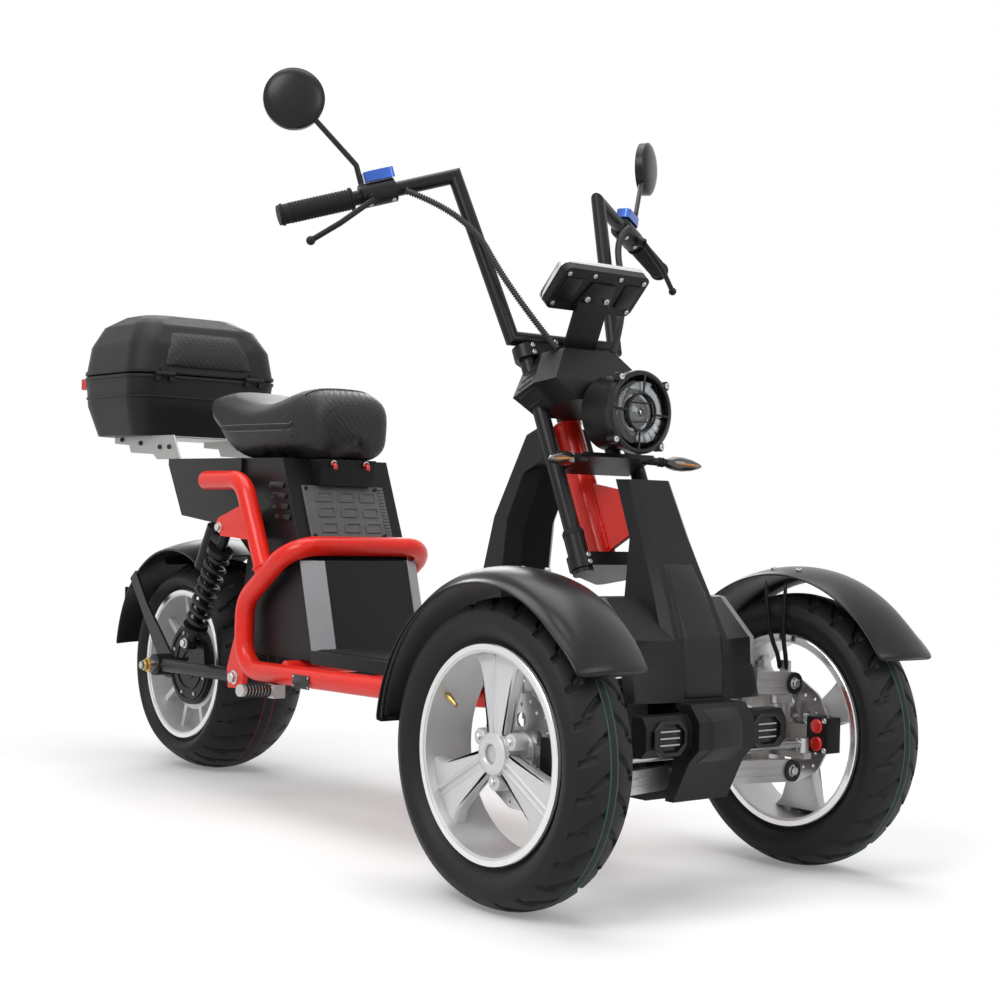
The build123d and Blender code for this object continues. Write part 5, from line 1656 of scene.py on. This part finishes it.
    def _signals(self) -> None:
        """Shape the almond turn signals with their amber strips and ribbed necks."""
        shells, strips, necks = Form(), Form(), Form()
        for side in BOTH:
            root, tip = PLAN.aft(138, side * 66, 697), PLAN.aft(104, side * 176, 690)
            way = (tip - root).normalized()
            base = root + way * (self.signal_neck * MM / abs(way.y))
            reach = (tip - base).length / MM
            shells.lathe([(r, share * reach) for share, r in self.SIGNAL], base, way, 28, caps=True)
            front = (AHEAD - way * AHEAD.dot(way)).normalized()
            line = [base + (way * (reach * share) + front * (r - 0.4)) * MM for share, r in self.SIGNAL[2:-2]]
            strips.tube(line, (1.1, 2.1, 2.1, 1.0), 8)
            for h in (-6.0, -12.0):
                necks.lathe(ridge(6.5, 8.5, h, 2.0, 1.5), base, way, 20)
        self.emit(shells, "signal_shells", "smoked_lens", replaces=("turn_signals",))
        self.emit(strips, "signal_strips", "amber_lens")
        self.emit(necks, "signal_necks", "grip_rubber")

    def _fork(self) -> None:
        """Add the leg caps, the sleeves' seals and the clamp bolts."""
        caps, seals, heads = Form(), Form(), []
        for side in BOTH:
            leg = side * self.leg_half
            caps.lathe(self.LEG_CAP, PLAN.column(self.leg_ahead, leg, 413), PLAN.rise, 32, caps=True)
            seals.lathe(self.LEG_SEAL, PLAN.column(self.leg_ahead, leg, 62), PLAN.rise, 40)
            heads += [(PLAN.column(self.clamp_ahead, leg, up), PLAN.ahead, 4.6) for up in (6, 18, 394, 407)]
            heads.append((PLAN.column(61, side * 34, 420), PLAN.ahead, 5.0))
        self.emit(caps, "fork_caps", "sheet_aluminium")
        self.emit(seals, "fork_seals", "grip_rubber")
        self.bolt("fork_bolts", heads)


class FrontEnd(Dresser):
    """Nose hood, bumper vents, arm ends, springs, calipers and fenders."""

    HOOD = (
        # station, half width, height, lift
        (-21.0, 33.0, 522.0, 3.0), (-48.0, 40.0, 470.0, 5.0), (-77.5, 46.0, 407.0, 5.0),
        (-83.0, 47.0, 362.0, 4.0), (-87.5, 44.0, 312.0, 3.0),
    )
    WING_EDGE = ((59, 170.5, 467), (11, 139.5, 467.5), (-59, 137.5, 405), (-64, 137.5, 362))
    WING_SECTION = ((2, 1.5, -8), (4, 1.5, 0.8), (1, -15, 1.2), (-2, -15, -6))
    vent_half = (36.0, 27.5)
    VENT = ((-1, -0.45), (-0.5, -1), (0.5, -1), (1, -0.45), (1, 0.45), (0.5, 1), (-0.5, 1), (-1, 0.45))
    FACET = ((-122, 54, 304), (-143, 40, 284), (-144, 40, 240), (-121, 52, 216))
    kingpin_y = 258.0
    arm_face = 48.0
    arm_levels = (322.0, 173.0)
    ARM_RING = ((11.5, -1.0), (11.5, 3.5), (18.5, 3.5), (18.8, -1.0))
    damper_stops = (0.0, 0.13, 0.15, 0.84, 0.86, 1.0)
    damper_radii = (10.0, 10.0, 13.0, 13.0, 24.0, 14.0)
    caliper_face = 282.0
    CALIPER_CAP = ((12.5, -1.0), (12.5, 3.5), (11.0, 5.0), (4.0, 5.0))
    fender_radius = 284.0
    fender_wall = 4.0
    fender_ends = (30.0, 176.0)
    fender_steps = 48
    curl_share = 0.14
    CROWN = ((-71.0, -14.2), (-60.0, -10.1), (-45.0, -5.7), (-22.0, -1.4), (0.0, 0.0), (22.0, -1.4))
    PLAIN = ((40.0, -4.5), (53.0, -7.9), (61.0, -10.5), (66.0, -12.3), (71.0, -14.2))
    FLANGED = ((40.0, -5.5), (51.0, -11.5), (55.5, -18.0), (59.5, -21.2), (71.0, -25.0))
    STAY = ((8, 282, 338), (8, 282, 366), (16, 260, 400), (24, 260, 502))

    def dress(self) -> None:
        """Add every piece of the front end."""
        self._hood()
        self._bumper()
        self._arm_ends()
        self._springs()
        for label, side in SIDES:
            self._caliper(label, side)
            self._fender(label, side)

    def _hood(self) -> None:
        """Add the raised plate down the nose's spine and grey strips on the wings' edges as painted
        highlight.
        """
        rows = []
        for station, half, height, lift in self.HOOD:
            skin = ((2, half + 4, 0), (-lift, half - 6, lift / 2))
            section = [*skin, *[(d, -y, z) for d, y, z in reversed(skin)]]
            rows.append([PLAN.aft(station + d, y, height + z) for d, y, z in section])
        self.emit(Form().rings(rows), "nose_hood", "black_satin", bevel=1.2, sharp=12.0)
        # painted highlight: lighter grey strips along the wing edges stand in for the light their bevels
        # catch
        edges = Form()
        for side in BOTH:
            edges.rings([[PLAN.aft(d, side * y, z) + Vector((dx, side * dy, dz)) * MM
                          for dx, dy, dz in self.WING_SECTION] for d, y, z in self.WING_EDGE])
        self.emit(edges, "wing_edges", "grey_strip", bevel=0.5)

    def _bumper(self) -> None:
        """Add the bumper's framed vents with their bright slots and its middle facet."""
        frames, slots, facet = Form(), Form(), Form()
        vent = shrunk(self.VENT, *self.vent_half)
        for side in BOTH:
            plane = axis_frame(PLAN.aft(-121, side * 110, 259), AHEAD)
            frames.sheet([vent, shrunk(vent, 0.80, 0.78)], plane, 7.0)
            frames.prism(shrunk(vent, 0.82, 0.80), plane, 2.2)
            for height in (-10.5, 0.0, 10.5):
                slots.prism(rectangle(21.0, 1.1, 0.0, height), raised(plane, 2.0), 1.8)
        facet.rings([[PLAN.aft(station + 6, half, height), PLAN.aft(station, half - 8, height),
                      PLAN.aft(station, 8 - half, height), PLAN.aft(station + 6, -half, height)]
                     for station, half, height in self.FACET])
        self.emit(frames, "bumper_frames", "black_satin", bevel=0.8)
        self.emit(slots, "bumper_slots", "sheet_aluminium")
        self.emit(facet, "bumper_facet", "black_satin", bevel=1.5, sharp=10.0)

    def _arm_ends(self) -> None:
        """Add black rings and bright bolts on the arms' ends, and the arms' long ribs."""
        rings, heads, grooves = Form(), [], Form()
        for side in BOTH:
            for level in self.arm_levels:
                for end in BOTH:
                    spot = PLAN.aft(-end * self.arm_face, side * self.kingpin_y, level)
                    rings.lathe(self.ARM_RING, spot, AHEAD * end, 40)
                    heads.append((spot + AHEAD * (end * 0.4 * MM), AHEAD * end, 10.4))
                for lift in (6.5, -6.5):
                    grooves.tube([PLAN.aft(-self.arm_face - 0.2, side * y, level + rise + lift)
                                  for y, rise in ((84, 8), (232, 1))], 1.4, 6)
        self.emit(rings, "arm_rings", "bolt_black")
        self.emit(grooves, "arm_grooves", "cast_aluminium")
        self.bolt("arm_bolts", heads, shape="hex")

    def _springs(self) -> None:
        """Stand a red coil spring with its damper between the arms on each side."""
        dampers = Form()
        for label, side in SIDES:
            low, high = PLAN.aft(0, side * 166, 186), PLAN.aft(0, side * 108, 322)
            way = high - low
            self.coil(f"front_spring_{label}", "red_gloss", low + way * 0.16, way, height=way.length * 0.62,
                      radius=21.0, wire=4.2, turns=6.5)
            dampers.tube([low + way * stop for stop in self.damper_stops], self.damper_radii, 20)
        self.emit(dampers, "front_dampers", "black_powder", sharp=30.0)

    def _caliper(self, label: str, side: int) -> None:
        """Add the two red caps and the bolts of a caliper."""
        body, way = Body(f"knuckle_{label}"), Vector((0, -side, 0))
        caps = Form()
        for height in (221, 251):
            caps.lathe(self.CALIPER_CAP, PLAN.aft(-82, side * self.caliper_face, height), way, 32, caps=True)
        self.emit(caps, f"caliper_caps_{label}", "red_cap", body)
        heads = [(PLAN.aft(-98, side * self.caliper_face, z), way, 4.8) for z in (211, 261)]
        self.bolt(f"caliper_bolts_{label}", heads, body=body)

    def _fender_section(self, share: float) -> list[tuple[float, float]]:
        """Closed section of a fender, as (across, out), from plain at its front end to flanged behind it."""
        ease = smooth(share / self.curl_share)
        skin = [*self.CROWN, *[(a + (c - a) * ease, b + (d - b) * ease)
                               for (a, b), (c, d) in zip(self.PLAIN, self.FLANGED)]]
        under = []
        for i, (y, r) in enumerate(skin):
            before, after = skin[max(i - 1, 0)], skin[min(i + 1, len(skin) - 1)]
            run, rise = after[0] - before[0], after[1] - before[1]
            wall = self.fender_wall / math.hypot(run, rise)
            under.append((y + rise * wall, r - run * wall))
        return skin + under[::-1]

    def _fender(self, label: str, side: int) -> None:
        """Skin a fender in the form of its node, with its moulded step, two stays and their bolts."""
        body, middle = Body(f"knuckle_{label}"), PLAN.front_centre(side)
        first, last = self.fender_ends
        rings = []
        for share in (i / self.fender_steps for i in range(self.fender_steps + 1)):
            out = self._upward(first + (last - first) * share)
            rings.append([middle + (out * (self.fender_radius + r) + Vector((0, side * y, 0))) * MM
                          for y, r in self._fender_section(share)])
        self.emit(Form().rings(rings), f"fender_shell_{label}", "black_satin", body, subdiv=1,
                  replaces=(f"fender_{label}",))
        stays, heads = Form(), []
        for end in BOTH:
            stays.tube([PLAN.aft(end * d, side * y, z) for d, y, z in self.STAY], 4.2, 12)
            out = self._upward(90 + end * 6)
            spot = middle + (out * (self.fender_radius - 5.2) + Vector((0, side * -42, 0))) * MM
            heads.append((spot, out + Vector((0, side * -0.25, 0)), 5.0))
        self.emit(stays, f"fender_stays_{label}", "black_powder", body, subdiv=1)
        self.bolt(f"fender_bolts_{label}", heads, body=body)

    @staticmethod
    def _upward(degrees: float) -> Vector:
        """Direction in a wheel's plane, from ahead over the top."""
        angle = math.radians(degrees)
        return Vector((math.cos(angle), 0, math.sin(angle)))


class MidBody(Dresser):
    """Louvers, panel relief, bag hooks, deck ribs, welds and the blank plate."""

    tower_face = 129.6
    louver_rows = 4
    louver_first = (1042.0, 652.0)
    louver_step = (9.3, 21.7)
    louver_length = 54.0
    louver_height = 13.0
    panel_ends = (PLAN.aft(912, 0, 494), PLAN.aft(1000, 0, 699.7))
    bracket_half = (21.0, 11.5)
    bracket_bar = 3.8
    BRACKET = ((-1, -1), (0.7, -1), (1, -0.3), (1, 1), (-0.7, 1), (-1, 0.3))
    HOOK = ((948, 691), (942, 691.5), (938.5, 688), (938, 682), (940, 677.5))
    hook_half = 40.0
    mat_half = (208.0, 2.6)
    tube_y = 170.0
    seam_points = 40

    def dress(self) -> None:
        """Add every piece of the middle."""
        self._louvers()
        self._panel()
        self._hooks()
        self._deck_ribs()
        self._welds()
        self._plate()

    def _louvers(self) -> None:
        """Set four hooded slats in a slanted column on each side of the tower."""
        form = Form()
        for side in BOTH:
            hood, lip = Vector((0, side * 5.2, 0)) * MM, Vector((0, 0, 3.5)) * MM
            for row in range(self.louver_rows):
                station, height = (a - row * b for a, b in zip(self.louver_first, self.louver_step))
                ends = []
                for d, z in ((station, height), (station - self.louver_length, height - 1.5)):
                    top = PLAN.aft(d, side * self.tower_face, z)
                    low = PLAN.aft(d, side * self.tower_face, z - self.louver_height)
                    ends.append([top, top - lip * 0.5 + hood * 0.4, low + lip + hood, low + hood, low])
                form.rings(ends)
        self.emit(form, "tower_louvers", "black_satin", bevel=0.5, sharp=25.0)

    def _panel(self) -> None:
        """Raise three rows of bracket outlines and an edge strip on the tower's panel."""
        low, high = self.panel_ends
        run = high - low
        normal = Vector((0, 1, 0)).cross(run.normalized())
        frame = axis_frame(low + run * 0.46 + normal * (6 * MM), normal, run)
        wide, tall = self.bracket_half
        outer = shrunk(self.BRACKET, wide, tall)
        inner = shrunk(self.BRACKET, wide - self.bracket_bar, tall - self.bracket_bar)
        form = Form()
        for row in (-34.0, 0.0, 34.0):
            for x in (-52.0, 4.0, 56.0):
                form.sheet([[(x + dx, row + dy) for dx, dy in loop] for loop in (outer, inner)], frame, 2.2)
        for i in range(16):
            form.prism(rectangle(6.0, 2.2, 90.0, -54.0 + i * 7.2), frame, 2.0)
        self.emit(form, "panel_relief", "grey_panel", bevel=0.4)
        corners = [(frame @ (Vector((x, y, -0.2)) * MM), normal, 4.0) for x in (-92, 78) for y in (-52, 52)]
        self.bolt("panel_screws", corners, paint="bolt_black")

    def _hooks(self) -> None:
        """Hang two red bag hooks on the latch box, each with a bright pin."""
        hooks, pins = Form(), Form()
        for side in BOTH:
            y = side * self.hook_half
            hooks.tube([PLAN.aft(d, y, z) for d, z in self.HOOK], 5.0, 10)
            pins.tube([PLAN.aft(950, y, 690), PLAN.aft(944, y, 690.4)], 7.2, 16)
        self.emit(hooks, "bag_hooks", "red_cap", subdiv=1)
        self.emit(pins, "hook_pins", "bolt_zinc")

    def _deck_ribs(self) -> None:
        """Lay rubber ribs on the two foot mats."""
        form = Form()
        for side in BOTH:
            for i in range(9):
                middle = PLAN.aft(588, side * (72.0 + i * 10.2), 322.5)
                form.prism(rectangle(*self.mat_half), Matrix.Translation(middle), 2.1)
        self.emit(form, "mat_ribs", "grip_rubber", bevel=0.6)

    def _welds(self) -> None:
        """Lay weld beads where the frame's tubes meet."""
        form = Form()
        for side in BOTH:
            y = side * self.tube_y
            self._bead(form, PLAN.aft(993, y, 476), PLAN.aft(1085, y, 652) - PLAN.aft(985, y, 460), 20.3)
            self._bead(form, PLAN.aft(312, side * 66, 275), AHEAD, 20.1)
        steps = range(self.seam_points)
        for left in (5.5, -5.5):
            line = [PLAN.column(24.6 + 0.4 * math.sin(i * 2.4), left, 46 + i * 3.4) for i in steps]
            form.tube(line, [2.8 + 0.7 * math.sin(i * 2.1) for i in steps], 6)
        for up in (37.5, 288.5):
            form.lathe(ridge(24.5, 26.8, 0.0, 3.5, 2.0), PLAN.column(0, 0, up), PLAN.rise, 48)
        self.emit(form, "weld_beads", "red_gloss", sharp=SHADE_ALL)

    @staticmethod
    def _bead(form: Form, centre: Vector, way: Vector, radius: float, count: int = 72) -> None:
        """Run a lumpy ring round a tube."""
        frame = axis_frame(centre, way)
        rows = []
        for i in range(count):
            thick = 3.0 + 0.7 * math.sin(math.tau * i / count * 24)
            row = []
            for out, up in circle(0, 0, thick, 8):
                x, y = polar(radius + out, i / count)
                row.append(frame @ (Vector((x, y, up)) * MM))
            rows.append(row)
        form.rings(rows, loop=True)

    def _plate(self) -> None:
        """Fix the blank plate on the right floor tube."""
        out = (0, -1, 0)
        frame = axis_frame(PLAN.aft(808, -self.tube_y - 20.4, 262), out)
        form = Form().prism(rectangle(30.0, 13.0), frame, 1.4)
        self.emit(form, "blank_plate", "plate_black", bevel=0.4)
        heads = [(frame @ (Vector((x, z, 1.2)) * MM), out, 2.2) for x in (-26, 26) for z in (-9, 9)]
        self.bolt("plate_rivets", heads)


class RearEnd(Dresser):
    """Coil springs, axle nuts, tail lamp, peg ridges and fender edges."""

    shock_y = 170.0
    shock_low = (1288.0, 300.0)
    shock_high = (1142.0, 553.0)
    spring_start = 52.0
    spring_spare = 124.0
    TAIL_LAMP = ((-60, -10), (60, -10), (70, 6), (54, 18), (-54, 18), (-70, 6))
    edge_radius = 257.0
    edge_half = 126.8
    edge_ends = (62.6, 173.4)
    edge_steps = 40

    def dress(self) -> None:
        """Add every piece of the rear end."""
        self._springs()
        self._nuts()
        self._tail_lamp()
        self._pegs()
        self._fender_edges()

    def _springs(self) -> None:
        """Wind a coil round each damper and bolt both its ends."""
        (low_d, low_z), (high_d, high_z) = self.shock_low, self.shock_high
        for label, side in SIDES:
            foot = PLAN.aft(low_d, side * self.shock_y, low_z)
            reach = PLAN.aft(high_d, side * self.shock_y, high_z) - foot
            way = reach.normalized()
            self.coil(f"rear_spring_{label}", "bolt_black", foot + way * (self.spring_start * MM), way,
                      height=reach.length - self.spring_spare * MM, radius=21.5, wire=4.8, turns=7.5,
                      replaces=("shock_springs",))
        ends = ((low_d, 182.2, low_z), (high_d, 190.0, high_z))
        heads = [(PLAN.aft(d, side * y, z), (0, side, 0), 11.0) for side in BOTH for d, y, z in ends]
        self.bolt("shock_bolts", heads, shape="hex")

    def _nuts(self) -> None:
        """Set the brass axle nuts and the swingarm's pivot bolts."""
        ways = [Vector((0, side, 0)) for side in BOTH]
        nuts = [(PLAN.rear_centre() + way * (177 * MM), way, 16.5) for way in ways]
        self.bolt("axle_nuts", nuts, paint="brass", shape="hex")
        pivots = [(PLAN.aft(1086, 0, 245) + way * (176 * MM), way, 15.0) for way in ways]
        self.bolt("pivot_bolts", pivots, shape="hex")

    def _tail_lamp(self) -> None:
        """Seat the tail lamp on the rear fender."""
        frame = axis_frame(PLAN.aft(1640, 0, 478), (-1, 0, 0.45))
        base = Form().prism(self.TAIL_LAMP, raised(frame, -34.0), 34.0)
        self.emit(base, "tail_lamp_base", "black_satin", bevel=2.0)
        lens = Form().prism(shrunk(self.TAIL_LAMP, 0.90, 0.82), frame, 6.0)
        self.emit(lens, "tail_lamp_lens", "red_lens", bevel=2.2)

    def _pegs(self) -> None:
        """Ring the foot pegs with rubber."""
        form = Form()
        for side in BOTH:
            root, tip = PLAN.aft(935, side * 170, 232), PLAN.aft(917, side * 262, 238)
            for i in range(8):
                form.lathe(ridge(11.5, 13.6, 24.0 + i * 8.2, 2.6, 1.8), root, tip - root, 28)
        self.emit(form, "peg_rubber", "grip_rubber")

    def _fender_edges(self) -> None:
        """Roll the rear fender's edges."""
        form = Form()
        first, last = self.edge_ends
        shares = [(first + (last - first) * i / self.edge_steps) / 360 for i in range(self.edge_steps + 1)]
        arc = [polar(self.edge_radius, share) for share in shares]
        for side in BOTH:
            line = [PLAN.rear_centre() + Vector((x, side * self.edge_half, z)) * MM for x, z in arc]
            form.tube(line, 2.6, 8)
        self.emit(form, "rear_fender_edges", "black_satin")


def main() -> None:
    """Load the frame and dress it."""
    logging.basicConfig(level=logging.INFO, format="%(name)s: %(message)s")
    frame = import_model()
    studio = Studio()
    studio.camera()
    studio.floor()
    studio.light()
    paints = Paints()
    repeats = Repeats(paints)
    shop = Workshop(paints, repeats, Fasteners(paints, repeats))
    Bodywork(paints, frame["nodes"]).dress()
    for dresser in (Wheels, Saddle, TopCase, Cockpit, FrontEnd, MidBody, RearEnd):
        dresser(shop).dress()


if __name__ == "__main__":
    main()
